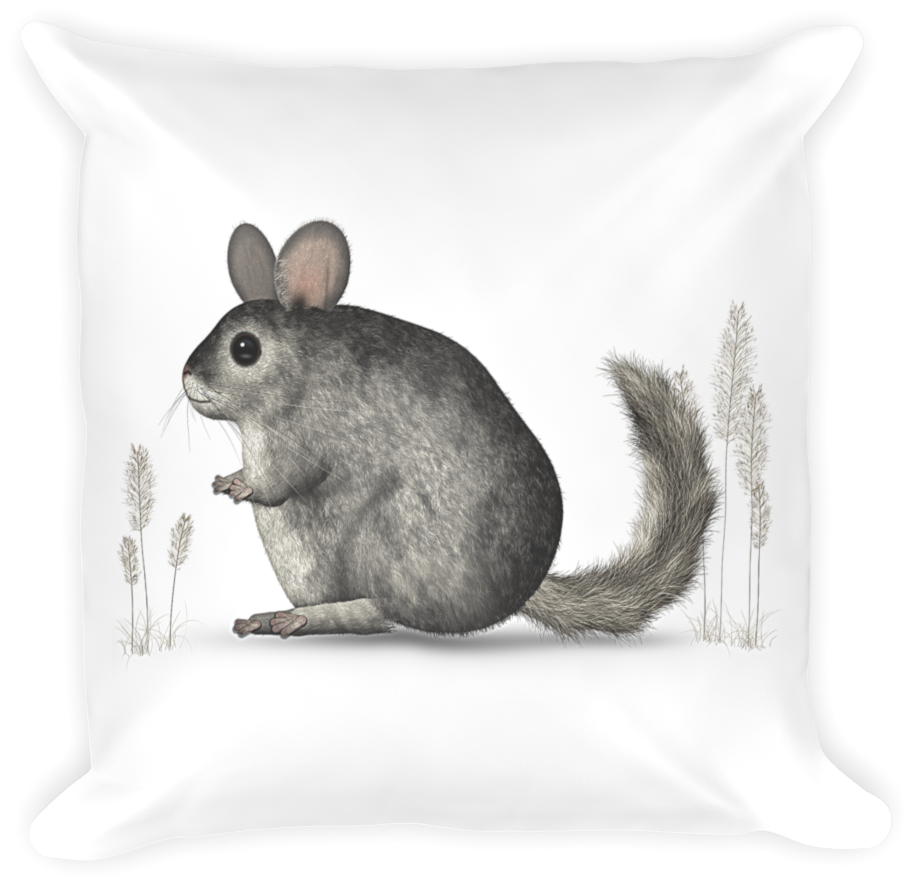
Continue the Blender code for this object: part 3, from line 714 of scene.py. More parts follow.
def paint_sprigs(sheet, rng, stems, strength):
    """Dry grasses: bent stems with plumed heads, each held as foot x, height, lean and size of head."""
    for foot, height, lean, head in stems:
        t = np.linspace(0, 1, 260)
        x = foot + lean * t**1.8 + 1.2 * np.sin(t * 3 + foot)
        y = -3 + height * t
        slope = np.arctan2(np.gradient(y), np.gradient(x))
        n = len(t)
        grey = 150 + 26 * lattice(t * 60, t * 0 + foot, 7.0, 31)
        for side in (-0.16, 0.16):
            sheet.hairs(x + side, y, slope, 1.6, tinted(grey, 5.0), strength * 0.75 * np.ones(n), batches=2)
        # the plume: spikelets that stand off the top part of the stem on both sides
        k = int(head * 9)
        place = rng.uniform(0.60, 1.0, k)
        sx, sy = np.interp(place, t, x), np.interp(place, t, y)
        side = rng.choice([-1, 1], k)
        open_ = 0.55 * (1.15 - place) / 0.5 + 0.10
        angle = np.interp(place, t, slope) - side * open_ * rng.uniform(0.6, 1.5, k)
        long_ = head * 0.28 * (0.45 + 1.1 * np.sin(math.pi * np.clip((place - 0.56) / 0.46, 0, 1))) * rng.uniform(0.7, 1.2, k)
        tone = np.clip(168 + rng.normal(0, 26, k), 96, 226)
        sheet.hairs(sx, sy, angle, long_, tinted(tone, 6.0), strength * rng.uniform(0.5, 1.0, k), bend=-0.5 * side, batches=6)
        seeds = rng.uniform(0.25, 1.0, k) * long_
        gx, gy = sx + seeds * np.cos(angle - 0.25 * side), sy + seeds * np.sin(angle - 0.25 * side)
        for shift in (-0.2, 0.15):
            sheet.hairs(gx + shift, gy, angle, 2.1, tinted(np.clip(tone - 26, 84, 210), 8.0), strength * 0.8, batches=6)
    # low blades at the foot
    for foot, *_ in stems:
        k = 16
        x = foot + rng.normal(0, 4.5, k)
        tone = np.clip(158 + rng.normal(0, 24, k), 100, 215)
        y, angle = rng.normal(-4, 0.8, k), rng.normal(math.pi / 2, 0.42, k)
        reach, bend = rng.uniform(9, 26, k), rng.normal(0, 0.8, k)
        end = x + reach * np.cos(angle + 0.6 * bend)   # none grows out over the painting's edge
        room = np.clip(end, INK_BOX[0] + 6, INK_BOX[1] - 6) - x
        reach = reach * np.clip(np.where(np.abs(end - x) > 0.1, room / (end - x), 1), 0.2, 1)
        sheet.hairs(x, y, angle, reach, tinted(tone, 6.0), strength, bend=bend, batches=3)


def paint_ear(sheet, rng, centre, radii, turn, near):
    """A large thin ear: grey velvet rim, rosy skin inside, a shaded hollow low down and pale hairs along its front edge."""
    reach = max(radii) + 6
    box = (centre[0] - reach, centre[0] + reach, centre[1] - reach, centre[1] + reach)
    c, s = math.cos(math.radians(turn)), math.sin(math.radians(turn))

    def place(x, y):
        dx, dy = x - centre[0], y - centre[1]
        a, b = (c * dx + s * dy) / radii[0], (c * dy - s * dx) / radii[1]
        a = a / (1 - 0.22 * np.clip(-b, 0, 1) ** 1.5)   # narrower towards the root
        return a, b, np.hypot(a, b)

    def colour(x, y):
        a, b, r = place(x, y)
        inner = np.array([199.0, 180.0, 167.0]) if near else np.array([172.0, 163.0, 153.0])
        rim = np.array([112.0, 109.0, 106.0])
        rosy = smooth((0.93 - r + 0.05 * lattice(x, y, 5.0, 41)) / 0.42) * (0.82 if near else 0.55)
        tone = rim * (1 - rosy[..., None]) + inner * rosy[..., None]
        tone = tone * (1 + 0.10 * np.clip(b, -1, 1) - 0.07 * a)[..., None]
        blush = np.exp(-((a + 0.05) ** 2 / 0.16 + (b + 0.28) ** 2 / 0.12))
        tone = tone + blush[..., None] * np.array([14.0, 1.0, -2.0]) * near
        hollow = np.exp(-((a + 0.12) ** 2 / 0.045 + (b + 0.66) ** 2 / 0.055))
        tone = tone * (1 - 0.62 * hollow * near)[..., None]
        ridge = np.exp(-((a - 0.42 + 0.30 * b) / 0.055) ** 2) * smooth((0.5 - b) / 0.5) * near
        tone = tone * (1 - 0.13 * ridge)[..., None]
        veins = np.clip(lattice(a * 9 + 0.8 * b, b * 2.2, 1.0, 43), 0, 1)
        tone = tone * (1 - 0.06 * veins)[..., None]
        lip = np.exp(-((r - 0.965) / 0.035) ** 2) * smooth((0.35 - a - 0.5 * b) / 0.5)
        return np.clip(tone + 30 * lip[..., None], 20, 245)

    sheet.wash(box, lambda x, y: smooth((1.0 - place(x, y)[2]) / 0.045), colour)
    k = 15000 if near else 6500
    x, y = rng.uniform(box[0], box[1], k), rng.uniform(box[2], box[3], k)
    a, b, r = place(x, y)
    stay = r < 0.985
    x, y, a, b, r = x[stay], y[stay], a[stay], b[stay], r[stay]
    out = np.arctan2(y - (centre[1] - 0.9 * radii[1] * c), x - (centre[0] + 0.9 * radii[1] * s))
    shade = colour(x, y) * (1 + rng.normal(0, 0.075, len(x)) + 0.07 * lattice(x, y, 2.0, 44))[:, None]
    sheet.hairs(x, y, out + rng.normal(0, 0.30, len(x)), rng.uniform(1.2, 2.8, len(x)), np.clip(shade, 18, 246), 0.34, batches=10)
    if near:
        # pale hairs that cross the opening from the front edge
        k = 210
        b = rng.uniform(-0.98, 0.06, k)
        a = -np.sqrt(np.clip(1 - b**2, 0, 1)) * (1 - 0.22 * np.clip(-b, 0, 1) ** 1.5) * rng.uniform(0.70, 0.97, k)
        x = centre[0] + c * a * radii[0] - s * b * radii[1]
        y = centre[1] + s * a * radii[0] + c * b * radii[1]
        tone = np.clip(196 + rng.normal(0, 20, k), 150, 238)
        sheet.hairs(x, y, math.radians(turn) + 0.95 + rng.normal(0, 0.55, k), rng.uniform(2.4, 6.5, k), tinted(tone, 3.0), 0.26, bend=rng.normal(-0.4, 0.4, k), batches=6)


def paint_eye(sheet, rng):
    """A glossy black eye with its lids."""
    cx, cy, rx, ry = EYE[0], EYE[1], 7.7, 8.1
    box = (cx - 14, cx + 14, cy - 14, cy + 14)
    r = lambda x, y: np.hypot((x - cx) / rx, (y - cy) / ry)
    corner = lambda x, y: np.exp(-(((x - cx - 7.2) / 2.6) ** 2 + ((y - cy + 1.2) / 1.5) ** 2))
    sheet.darken(box, lambda x, y: 1 - 0.50 * smooth((1.36 - r(x, y)) / 0.34) - 0.42 * corner(x, y))
    sheet.wash(box, lambda x, y: smooth((1.13 - r(x, y)) / 0.10), (72.0, 62.0, 57.0))
    sheet.wash(box, lambda x, y: smooth((1.0 - r(x, y)) / 0.10), (20.0, 18.0, 20.0))
    # the sky's broad dull reflection above, a lighter one of the ground below, and the sharp highlight
    sheet.wash(box, lambda x, y: 0.46 * smooth((0.84 - r(x, y)) / 0.3) * smooth((y - cy + 1.0) / 5.0), (104.0, 110.0, 124.0))
    sheet.wash(box, lambda x, y: 0.62 * np.exp(-(((x - cx - 0.4) / 3.7) ** 2 + ((y - cy + 3.6) / 1.4) ** 2)), (138.0, 134.0, 134.0))
    sheet.wash(box, lambda x, y: smooth((1.0 - np.hypot((x - cx + 1.9) / 1.35, (y - cy - 2.5) / 1.25)) / 0.5), (250.0, 251.0, 252.0))
    # lashes and the short pale hairs of the lids
    k = 230
    a = rng.uniform(0, 2 * math.pi, k)
    x, y = cx + rx * 1.24 * np.cos(a), cy + ry * 1.24 * np.sin(a)
    tone = np.clip(176 + rng.normal(0, 24, k), 90, 230)
    sheet.hairs(x, y, a + 0.7 * np.sin(a) + rng.normal(0, 0.25, k), rng.uniform(1.6, 3.4, k), tinted(tone), 0.40, batches=4)


def paint_muzzle(sheet, rng, body):
    """Nose, mouth and the dots from which the whiskers grow."""
    box = (-112, -68, 112, 160)
    on = lambda x, y: smooth((0.3 - body.look(body.edge, x, y)) / 1.0)
    nose = lambda x, y: np.hypot((x + 100.0) / 5.2, (y - 143.0) / 5.4)
    sheet.wash(box, lambda x, y: on(x, y) * 0.80 * smooth((1.15 - nose(x, y)) / 0.7), lambda x, y: np.stack([158 + 0 * x, 132 + 0 * x, 126 + 0 * x], -1) * (0.90 + 0.030 * (y - 143))[..., None])
    slit = lambda x, y: from_line(x, y, [(-98.8, 141.6), (-96.8, 142.6), (-95.2, 141.2)])[0]
    sheet.wash(box, lambda x, y: on(x, y) * 0.85 * np.exp(-((slit(x, y) / 0.8) ** 2)), (44.0, 37.0, 37.0))
    cleft = lambda x, y: from_line(x, y, [(-99.8, 138.0), (-99.0, 133.5), (-97.6, 131.0)])[0]
    sheet.wash(box, lambda x, y: on(x, y) * 0.55 * np.exp(-((cleft(x, y) / 0.7) ** 2)), (84.0, 68.0, 66.0))
    mouth = lambda x, y: from_line(x, y, [(-98.6, 130.0), (-95.0, 127.4), (-90.0, 126.2), (-84.5, 127.0)])[0]
    sheet.wash(box, lambda x, y: on(x, y) * 0.66 * np.exp(-((mouth(x, y) / 0.8) ** 2)), (64.0, 56.0, 55.0))
    for row in range(4):
        x = np.linspace(-95 + row * 0.7, -80 + row, 7)
        y = 138.0 - row * 2.5 - 0.12 * (x + 88)
        sheet.hairs(x, y, np.full(7, -0.2), 1.2, np.full((7, 3), 62.0), 0.9, batches=1)


def paint_whiskers(sheet, rng):
    """Long whiskers: dark where they start, fading and thinning to their ends."""
    def sweep(x0, y0, angle, length, bend, tone0, tone1, strength):
        t = np.linspace(0, 1, int(length / 0.35))
        a = angle + bend * t
        x = x0 + np.cumsum(np.cos(a)) * length / len(t)
        y = y0 + np.cumsum(np.sin(a)) * length / len(t)
        tone = tone0 + (tone1 - tone0) * smooth(t * 1.5)
        sheet.hairs(x, y, a, 0.55, tinted(tone), strength * (1 - 0.75 * t), batches=1)

    for i in range(15):
        sweep(-88 + rng.uniform(-5, 6), 134 + rng.uniform(-5, 4), math.radians(-6 - 3.6 * i + rng.uniform(-3, 3)), rng.uniform(66, 112), rng.uniform(-0.50, 0.05), 44, 222 if i % 3 else 52, 0.95)
    for i in range(9):
        sweep(-95 + rng.uniform(-3, 4), 134 + rng.uniform(-5, 4), math.radians(200 + 7.5 * i + rng.uniform(-4, 4)), rng.uniform(16, 34), rng.uniform(0.1, 0.7), 70, 128, 0.6)
    for i in range(4):
        sweep(-68 + rng.uniform(-2, 2), 168 + rng.uniform(-1, 1), math.radians(72 - 9 * i), rng.uniform(20, 32), -0.5, 60, 120, 0.5)


def paint_paw(sheet, rng, wrist, toes, width, tone):
    """Small bare fingers or toes that end in blunt tips."""
    for tx, ty in toes:
        length = math.hypot(tx - wrist[0], ty - wrist[1])
        d = lambda x, y: from_line(x, y, [wrist, (tx, ty)])
        box = (min(tx, wrist[0]) - 5, max(tx, wrist[0]) + 5, min(ty, wrist[1]) - 5, max(ty, wrist[1]) + 5)
        shape = lambda x, y: smooth((width * (1 - 0.18 * d(x, y)[1]) - d(x, y)[0]) / 0.7)
        shade = lambda x, y: np.array([1.0, 0.90, 0.86]) * (tone * (0.80 + 0.09 * np.clip((y - (ty + wrist[1]) / 2) / width, -2, 2) + 0.05 * lattice(x, y, 1.4, 51)))[..., None]
        sheet.darken((box[0] - 1, box[1] + 1, box[2] - 1, box[3] + 1), lambda x, y: 1 - 0.38 * smooth((width + 1.0 - from_line(x, y, [(wrist[0], wrist[1] - 0.6), (tx, ty - 0.6)])[0]) / 1.6))
        sheet.wash(box, shape, shade)
        k = int(length * 16)
        s = rng.uniform(0, 0.8, k)
        x = wrist[0] + s * (tx - wrist[0]) + rng.normal(0, width * 0.35, k)
        y = wrist[1] + s * (ty - wrist[1]) + rng.normal(0, width * 0.35, k)
        turn = math.atan2(ty - wrist[1], tx - wrist[0])
        light = np.clip(tone + 12 + rng.normal(0, 18, k), 70, 240)
        sheet.hairs(x, y, turn + rng.normal(0, 0.3, k), rng.uniform(1.2, 2.6, k), tinted(light, 3.0), 0.42 * (1 - s), batches=2)


def painted():
    """The whole picture as display tones on the painting's own grid."""
    rng = np.random.default_rng(INK_SEED)
    sheet = Sheet()

    # ---- ground: a soft shade that fades outwards
    def ground(x, y):
        under_body = np.exp(-(((x - 28) / 78) ** 2 + ((y + 1.5) / 6.5) ** 2))
        under_tail = np.exp(-(((x - 142) / 40) ** 2 + ((y + 1.0) / 5.0) ** 2))
        broad = np.exp(-(((x - 50) / 125) ** 2 + ((y + 3) / 15) ** 2))
        return 1 - 0.40 * under_body - 0.22 * under_tail - 0.085 * broad

    sheet.darken(INK_BOX, ground)
    paint_sprigs(sheet, rng, [(-125, 104, -6, 28), (-109, 66, 9, 19), (-133, 58, -3, 17), (212, 178, 10, 35), (228, 132, 8, 31), (201, 146, -14, 28), (233, 84, 3, 18)], 0.62)

    # ---- tail
    line = [(88, 30, -10), (118, 18, -10), (148, 19, -6), (173, 38, -2), (186, 70, 0), (184, 103, 0), (171, 128, 2), (156, 144, 4)]
    radii = [12, 13.0, 15.5, 17.0, 17.0, 15.0, 11.0, 4.5]
    tail = Relief(lambda p: limb(p, line, radii), (70, 216, -4, 156), (-26, 24), slices=18)
    flat = [q[:2] for q in line]

    def tail_tone(x, y):
        d, s = from_line(x, y, flat)
        across = np.clip((np.hypot(x - 136, y - 76) - 52) / 14, -1.3, 1.3)   # from the inside of the curl to the outside
        tone = 150 - 62 * np.exp(-(((across + 0.25) / 0.55) ** 2)) + 34 * np.exp(-(((across + 1.05) / 0.25) ** 2)) + 22 * np.clip(across, 0, 1)
        return tone - 30 * smooth((s - 0.62) / 0.25) * smooth((across + 0.9) / 0.6) + 14 * lattice(x, y, 8.0, 21) - 34 * smooth((12 - y) / 14)

    def tail_turn(x, y):
        points = np.array(flat, dtype=float)
        d, s = from_line(x, y, flat)
        knots = np.r_[0.0, np.cumsum(np.linalg.norm(np.diff(points, axis=0), axis=1))]
        knots /= knots[-1]
        at = np.stack([np.interp(s, knots, points[:, k]) for k in (0, 1)], -1)
        ahead = np.stack([np.interp(np.clip(s + 0.06, 0, 1), knots, points[:, k]) for k in (0, 1)], -1)
        back = np.stack([np.interp(np.clip(s - 0.06, 0, 1), knots, points[:, k]) for k in (0, 1)], -1)
        along = np.arctan2(*(ahead - back).T[::-1]) if x.ndim == 1 else np.arctan2((ahead - back)[..., 1], (ahead - back)[..., 0])
        cross = (ahead - back)[..., 0] * (y - at[..., 1]) - (ahead - back)[..., 1] * (x - at[..., 0])
        return along + np.sign(cross) * 0.50 * smooth(d / 15)

    cover, colour = under(tail, tail_tone, 0.5)
    sheet.wash((70, 216, -4, 156), cover, colour)
    order = lambda x, y: -160 * from_line(x, y, flat)[1]
    fur(sheet, tail, rng, 16000, tail_turn, tail_tone, 10.0, 0.72, 0.20, 26.0, 2.4, 0.5, 2.7, order=order, spread=0.95, inset=-0.2, trim=0.3)
    fur(sheet, tail, rng, 7500, tail_turn, lambda x, y: tail_tone(x, y) + 12, 14.0, 0.85, 0.22, 26.0, 2.8, 0.5, 3.6, order=order, spread=1.5, inset=0.8, trim=0.2)

    # ---- far ear and far limbs
    paint_ear(sheet, rng, (-57, 199), (15.0, 28), 14, False)
    far_leg = Relief(lambda p: limb(p, [(-42, 92, -6), (-62, 84, -4), (-74, 82, -2)], [11, 8, 5.5]), (-86, -24, 70, 108), (-20, 12), slices=14)
    cover, colour = under(far_leg, lambda x, y: 150 + 0 * x, 0.5)
    sheet.wash((-86, -24, 70, 108), cover, colour)
    fur(sheet, far_leg, rng, 2600, lambda x, y: math.radians(196) + 0 * x, lambda x, y: 158 + 0 * x, 4.0, 0.5, 0.25, 20.0, 2.2, 0.5, 2.0)
    paint_paw(sheet, rng, (-73, 82), [(-81, 86), (-82.5, 82.5), (-81.5, 79.2)], 1.9, 170)
    far_foot = Relief(lambda p: limb(p, [(-6, 9, -8), (-34, 7, -6), (-58, 6, -6)], [9, 7.5, 6.0]), (-66, 8, -4, 22), (-18, 6), slices=12)
    cover, colour = under(far_foot, lambda x, y: 128 + 0 * x, 0.5)
    sheet.wash((-66, 8, -4, 22), cover, colour)
    fur(sheet, far_foot, rng, 2200, lambda x, y: math.radians(186) + 0 * x, lambda x, y: 138 + 0 * x, 4.0, 0.5, 0.2, 18.0, 2.2, 0.5, 2.0)
    paint_paw(sheet, rng, (-58, 6), [(-69, 7.4), (-70, 4.2), (-67, 1.8)], 2.4, 160)

    # ---- body and head
    def trunk(p):
        d = ball(p, (52, 68, 0), (66, 65, 58), 0)
        d = melt(d, ball(p, (26, 112, 0), (66, 60, 50), -24), 16)
        d = melt(d, ball(p, (-18, 82, 0), (43, 60, 40), 6), 16)
        d = melt(d, ball(p, (-8, 38, 0), (36, 36, 40), 0), 14)
        d = melt(d, ball(p, (-12, 144, 0), (46, 38, 36), -8), 16)
        d = melt(d, ball(p, (-52, 153, 0), (36, 31, 28), 22), 12)
        d = melt(d, ball(p, (-82, 140, 0), (19, 17.5, 16), 30), 12)
        d = melt(d, ball(p, (-76, 128, 0), (18, 10, 13), 12), 8)
        d = melt(d, ball(p, (-64, 135, 13), (19, 14, 12), 10), 8)
        d = melt(d, ball(p, (-40, 106, 0), (27, 32, 27), 0), 14)
        d = melt(d, ball(p, (-26, 108, 26), (26, 34, 18), -18), 10)
        return melt(d, ball(p, (46, 50, 32), (54, 47, 30), 16), 8)

    box = (-108, 126, -3, 198)
    body = Relief(trunk, box, (-20, 76), slices=36)
    cover, colour = under(body, coat, 0.5, 8.0)
    sheet.wash(box, cover, colour)
    turn = guided([
        (-98, 144, 60), (-86, 158, 42), (-66, 174, 16), (-62, 152, 4), (-74, 136, -14), (-88, 132, -18), (-84, 118, -50),
        (-42, 182, 2), (-34, 152, -22), (-6, 174, -14), (-8, 134, -46), (36, 160, -28), (30, 116, -42), (76, 138, -46),
        (98, 110, -60), (112, 70, -84), (108, 30, -98), (66, 80, -58), (40, 54, -52), (10, 62, -78), (60, 32, -62),
        (-26, 112, -76), (-60, 100, -92), (-50, 78, -84), (-32, 40, -74), (-40, 60, -80), (-10, 30, -66), (20, 18, -60),
    ])
    rear_first = lambda x, y: -(x * 0.85 - y * 0.62)
    nap = lambda x, y: 0.34 + 0.66 * smooth((np.hypot(x + 88, y - 142) - 10) / 62)   # hair is short on the face
    fur(sheet, body, rng, 56000, turn, coat, lambda x, y: 6.0 * nap(x, y), 0.62, 0.24, 30.0, 2.4, 0.5, 1.8, order=rear_first, spread=0.42)
    fur(sheet, body, rng, 46000, turn, lambda x, y: coat(x, y) + 8, lambda x, y: 3.2 * nap(x, y) + 0.5, 0.50, 0.30, 40.0, 1.7, 0.5, 1.8, order=rear_first, spread=0.55)

    # creases: under the chin, before the thigh and along the flank
    def creases(x, y):
        a, _ = from_line(x, y, [(-52, 116), (-40, 122), (-30, 134), (-27, 148)])
        b, _ = from_line(x, y, [(-8, 20), (-9, 42), (2, 66), (22, 84)])
        c_, _ = from_line(x, y, [(-44, 92), (-36, 80), (-22, 76), (-6, 84)])
        return 1 - 0.20 * np.exp(-((a / 4.2) ** 2)) - 0.26 * np.exp(-((b / 4.6) ** 2)) - 0.22 * np.exp(-((c_ / 4.4) ** 2))

    sheet.darken(box, creases)
    paint_muzzle(sheet, rng, body)
    paint_eye(sheet, rng)

    # ---- near hind foot, and the thigh's fur falling over its heel
    foot = Relief(lambda p: limb(p, [(34, 10, 40), (4, 9.5, 44), (-32, 8.0, 42)], [10.5, 9.5, 7.2]), (-44, 50, -3, 26), (26, 56), slices=14)
    sheet.darken((-70, 70, -14, 40), lambda x, y: 1 - 0.42 * np.exp(-np.clip(foot.look(foot.edge, x, y), 0, 60) / 4.0) * smooth((34 - x) / 26) * smooth((-body.look(body.edge, x, y) + 1) / 2))
    foot_tone = lambda x, y: 172 - 20 * smooth((x - 6) / 30) + 0 * y
    cover, colour = under(foot, foot_tone, 0.6)
    sheet.wash((-44, 50, -3, 26), lambda x, y: cover(x, y) * smooth((24 - x) / 16), colour)
    fur(sheet, foot, rng, 7000, lambda x, y: math.radians(184) + 0.1 * np.sin(x / 9), foot_tone, 4.6, 0.55, 0.20, 24.0, 2.2, 0.6, 2.0, fade=lambda x, y: smooth((26 - x) / 14))
    paint_paw(sheet, rng, (-32, 8), [(-45, 10.6), (-48, 7.0), (-47, 3.4), (-42, 1.2)], 2.8, 178)
    thigh = Relief(lambda p: ball(p, (48, 44, 34), (50, 40, 28), 14), (-8, 104, 0, 92), (8, 66), slices=16)
    fur(sheet, thigh, rng, 14000, turn, lambda x, y: coat(x, y) + 6, 6.6, 0.6, 0.24, 27.0, 2.5, 0.5, 2.0, fade=lambda x, y: smooth((52 - y + 8 * lattice(x, y, 8.0, 61)) / 16) * smooth((x + 4) / 6) * smooth((y - 9) / 5), order=rear_first)

    # ---- near foreleg and paw
    arm_box = (-82, -8, 66, 122)
    arm = Relief(lambda p: melt(ball(p, (-28, 100, 34), (17, 22, 12), -30), limb(p, [(-30, 98, 36), (-48, 80, 38), (-62, 79, 36)], [13, 9, 6]), 6), arm_box, (18, 54), slices=16)
    sheet.darken(arm_box, lambda x, y: 1 - 0.30 * smooth((4.5 - arm.look(arm.edge, x + 1.5, y + 4.0)) / 9) * smooth((98 - y) / 14) * smooth((y - 67) / 6) * smooth((-body.look(body.edge, x, y) + 1) / 2))
    arm_tone = lambda x, y: 150 + 26 * smooth((-44 - x) / 14) - 14 * smooth((y - 96) / 12)
    arm_fade = lambda x, y: smooth((108 - y + 7 * lattice(x, y, 7.0, 62)) / 16) * smooth((-16 - x) / 12 + 0.4)
    cover, colour = under(arm, arm_tone, 0.6)
    sheet.wash(arm_box, lambda x, y: cover(x, y) * arm_fade(x, y), colour)
    arm_turn = guided([(-24, 112, -95), (-32, 96, -120), (-42, 84, -140), (-56, 79, -178), (-36, 84, -132)])
    fur(sheet, arm, rng, 8000, arm_turn, arm_tone, 5.0, 0.6, 0.24, 24.0, 2.3, 0.6, 2.0, fade=arm_fade, order=lambda x, y: -x)
    paint_paw(sheet, rng, (-62, 79), [(-70, 84.0), (-72, 80.6), (-72, 77.2), (-69, 74.2)], 2.1, 190)

    # ---- near ear and the hair at its root
    paint_ear(sheet, rng, (-24, 200), (22.0, 30.5), -16, True)
    root = Relief(lambda p: ball(p, (-32, 170, 20), (24, 13, 12), -8), (-60, -4, 154, 186), (4, 36), slices=12)
    fur(sheet, root, rng, 5200, lambda x, y: turn(x, y) + 0.5 * smooth((y - 166) / 12), coat, 4.6, 0.5, 0.30, 30.0, 2.2, 0.3, 1.8, fade=lambda x, y: smooth((y - 160) / 8) * smooth((185 - y + 5 * lattice(x, y, 4.0, 63)) / 9))

    paint_whiskers(sheet, rng)
    return np.clip(sheet.tone, 0, 255)


INK_SEED = 23
INK_CRISP = ((1.1, 1.3, 60.0), (4.5, 0.75, 26.0))   # reach in points, strength, and the most it may add


def crisper(tone, reach, strength, most):
    """The picture with its detail under that reach brought out."""
    taps = np.arange(-int(3 * reach), int(3 * reach) + 1)
    weight = np.exp(-0.5 * (taps / reach) ** 2)
    soft = tone
    for axis in (0, 1):
        soft = sum(w * np.roll(soft, int(k), axis) for k, w in zip(taps, weight / weight.sum()))
    return tone + np.clip(strength * (tone - soft), -most, most)


def paint_ink(u, v):
    """Ink at the places u across and v up the cover's square, as shares of the bare cloth's light."""
    tone = painted()
    for step in INK_CRISP:
        tone = np.clip(crisper(tone, *step), 0, 255)
    tone = 255 * (tone / 255) ** INK_DEPTH
    light = np.where(tone <= 10.31, tone / 3294.6, ((tone / 255 + 0.055) / 1.055) ** 2.4)
    x = INK_MIDDLE[0] + (np.asarray(u) - 0.5) * PRINT_WIDTH / INK_SCALE
    y = INK_MIDDLE[1] + (np.asarray(v) - 0.5) * PRINT_HEIGHT / INK_SCALE
    gx, gy = (x - INK_BOX[0]) / INK_GRAIN, (y - INK_BOX[2]) / INK_GRAIN

    def rows_of(places, count):
        """Each place's share of the painting's points, over about its own spacing."""
        out = np.zeros((len(places), count), dtype=np.float32)
        reach = np.clip(np.gradient(places) / 2, 0.5, 4)
        for k, (p, r) in enumerate(zip(places, reach)):
            a = int(np.clip(math.floor(p - r - 1), 0, count - 1))
            b = int(np.clip(math.ceil(p + r + 1), 1, count))
            w = np.clip(1 - np.abs(np.arange(a, b) - p) / (r + 0.5), 0, None)
            if 0 <= p <= count - 1 and w.sum() > 0:
                out[k, a:b] = w / w.sum()
        return out

    across, up = rows_of(gx, light.shape[1]), rows_of(gy, light.shape[0])
    ink = np.einsum("bj,jik->bik", up, light.astype(np.float32), optimize=True)
    ink = np.einsum("ai,bik->bak", across, ink, optimize=True)
    bare = 1 - up.sum(1)[:, None, None] * across.sum(1)[None, :, None]
    return np.clip(ink + bare, 0.004, 1)


# ---------------------------------------------------------------- laying the panels out finely
PRINT_WIDTH, PRINT_HEIGHT = 382.0, 400.0   # the cover's square as seen from above in its middle, in millimetres
INK_FROM_SIDE, INK_FROM_END = 0.045, 0.185 # the printed picture keeps this share of the square clear
INK_STEP = 0.44                            # closeness of the points that carry ink, in millimetres
PLAIN_STEP = 2.4
BACK_STEP = 2.6
LIP_HALF_WIDTH, LIP_HALF_HEIGHT = 0.5, 0.24# the seam's turned edge, in millimetres
LIP_TILT = 18.0                            # degrees by which it dips outwards


def cubic(n, t):
    """Matrix that reads an even row of n values at places t by Catmull-Rom interpolation."""
    x = np.asarray(t) * (n - 1)
    k = np.clip(np.floor(x).astype(int), 0, n - 2)
    s = x - k
    w = np.stack(
        [-0.5 * s + s**2 - 0.5 * s**3, 1 - 2.5 * s**2 + 1.5 * s**3, 0.5 * s + 2 * s**2 - 1.5 * s**3, -0.5 * s**2 + 0.5 * s**3],
        axis=-1,
    )
    out = np.zeros((len(x), n))
    rows = np.arange(len(x))
    for j in range(4):
        i = k - 1 + j
        for off, a, b in ((i < 0, 0, 1), (i > n - 1, n - 1, n - 2)):
            np.add.at(out, (rows[off], np.full(off.sum(), a)), 2 * w[off, j])
            np.add.at(out, (rows[off], np.full(off.sum(), b)), -w[off, j])
        on = (i >= 0) & (i <= n - 1)
        np.add.at(out, (rows[on], i[on]), w[on, j])
    return out


def finely(grid, u, v):
    """A grid's values read at every pair of the places u across and v up."""
    n = grid.shape[0]
    return np.einsum("ai,ijk,bj->abk", cubic(n, v), grid, cubic(n, u), optimize=True)


def places_along(span, clear, fine, coarse):
    """Places from 0 to 1 along a side that is span long: fine between the clear ends, coarse outside."""
    ends = max(4, round(clear * span / coarse))
    middle = max(8, round((1 - 2 * clear) * span / fine))
    a = clear * np.arange(ends) / ends
    return np.r_[a, clear + (1 - 2 * clear) * np.arange(middle + 1) / middle, 1 - a[::-1]]


def grid_mesh(name, grid, u, v, turned=False):
    """A mesh over the grid of places (metres), smooth, with its bake map and its cloth coordinates."""
    rows, columns = grid.shape[:2]
    ids = np.arange(rows * columns, dtype=np.int32).reshape(rows, columns)
    q = np.stack([ids[:-1, :-1], ids[:-1, 1:], ids[1:, 1:], ids[1:, :-1]], axis=-1).reshape(-1, 4)
    if turned:
        q = q[:, ::-1]
    mesh = bpy.data.meshes.new(name)
    mesh.vertices.add(rows * columns)
    mesh.vertices.foreach_set("co", grid.astype(np.float32).ravel())
    mesh.loops.add(q.size)
    mesh.loops.foreach_set("vertex_index", q.ravel())
    mesh.polygons.add(len(q))
    mesh.polygons.foreach_set("loop_start", np.arange(0, q.size, 4, dtype=np.int32))
    mesh.update(calc_edges=True)
    mesh.shade_smooth()
    uu, vv = np.meshgrid(u, v)
    flat = np.stack([uu, vv], axis=-1).reshape(-1, 2)
    bake = mesh.uv_layers.new(name="OFBake")
    bake.data.foreach_set("uv", (0.004 + 0.992 * flat)[q.ravel()].astype(np.float32).ravel())
    cloth = mesh.attributes.new("cloth_mm", "FLOAT_VECTOR", "POINT")
    cloth.data.foreach_set("vector", np.c_[(flat - 0.5) * PATTERN, np.zeros(len(flat))].astype(np.float32).ravel())
    piece = bpy.data.objects.new(name, mesh)
    bpy.context.scene.collection.objects.link(piece)
    return piece


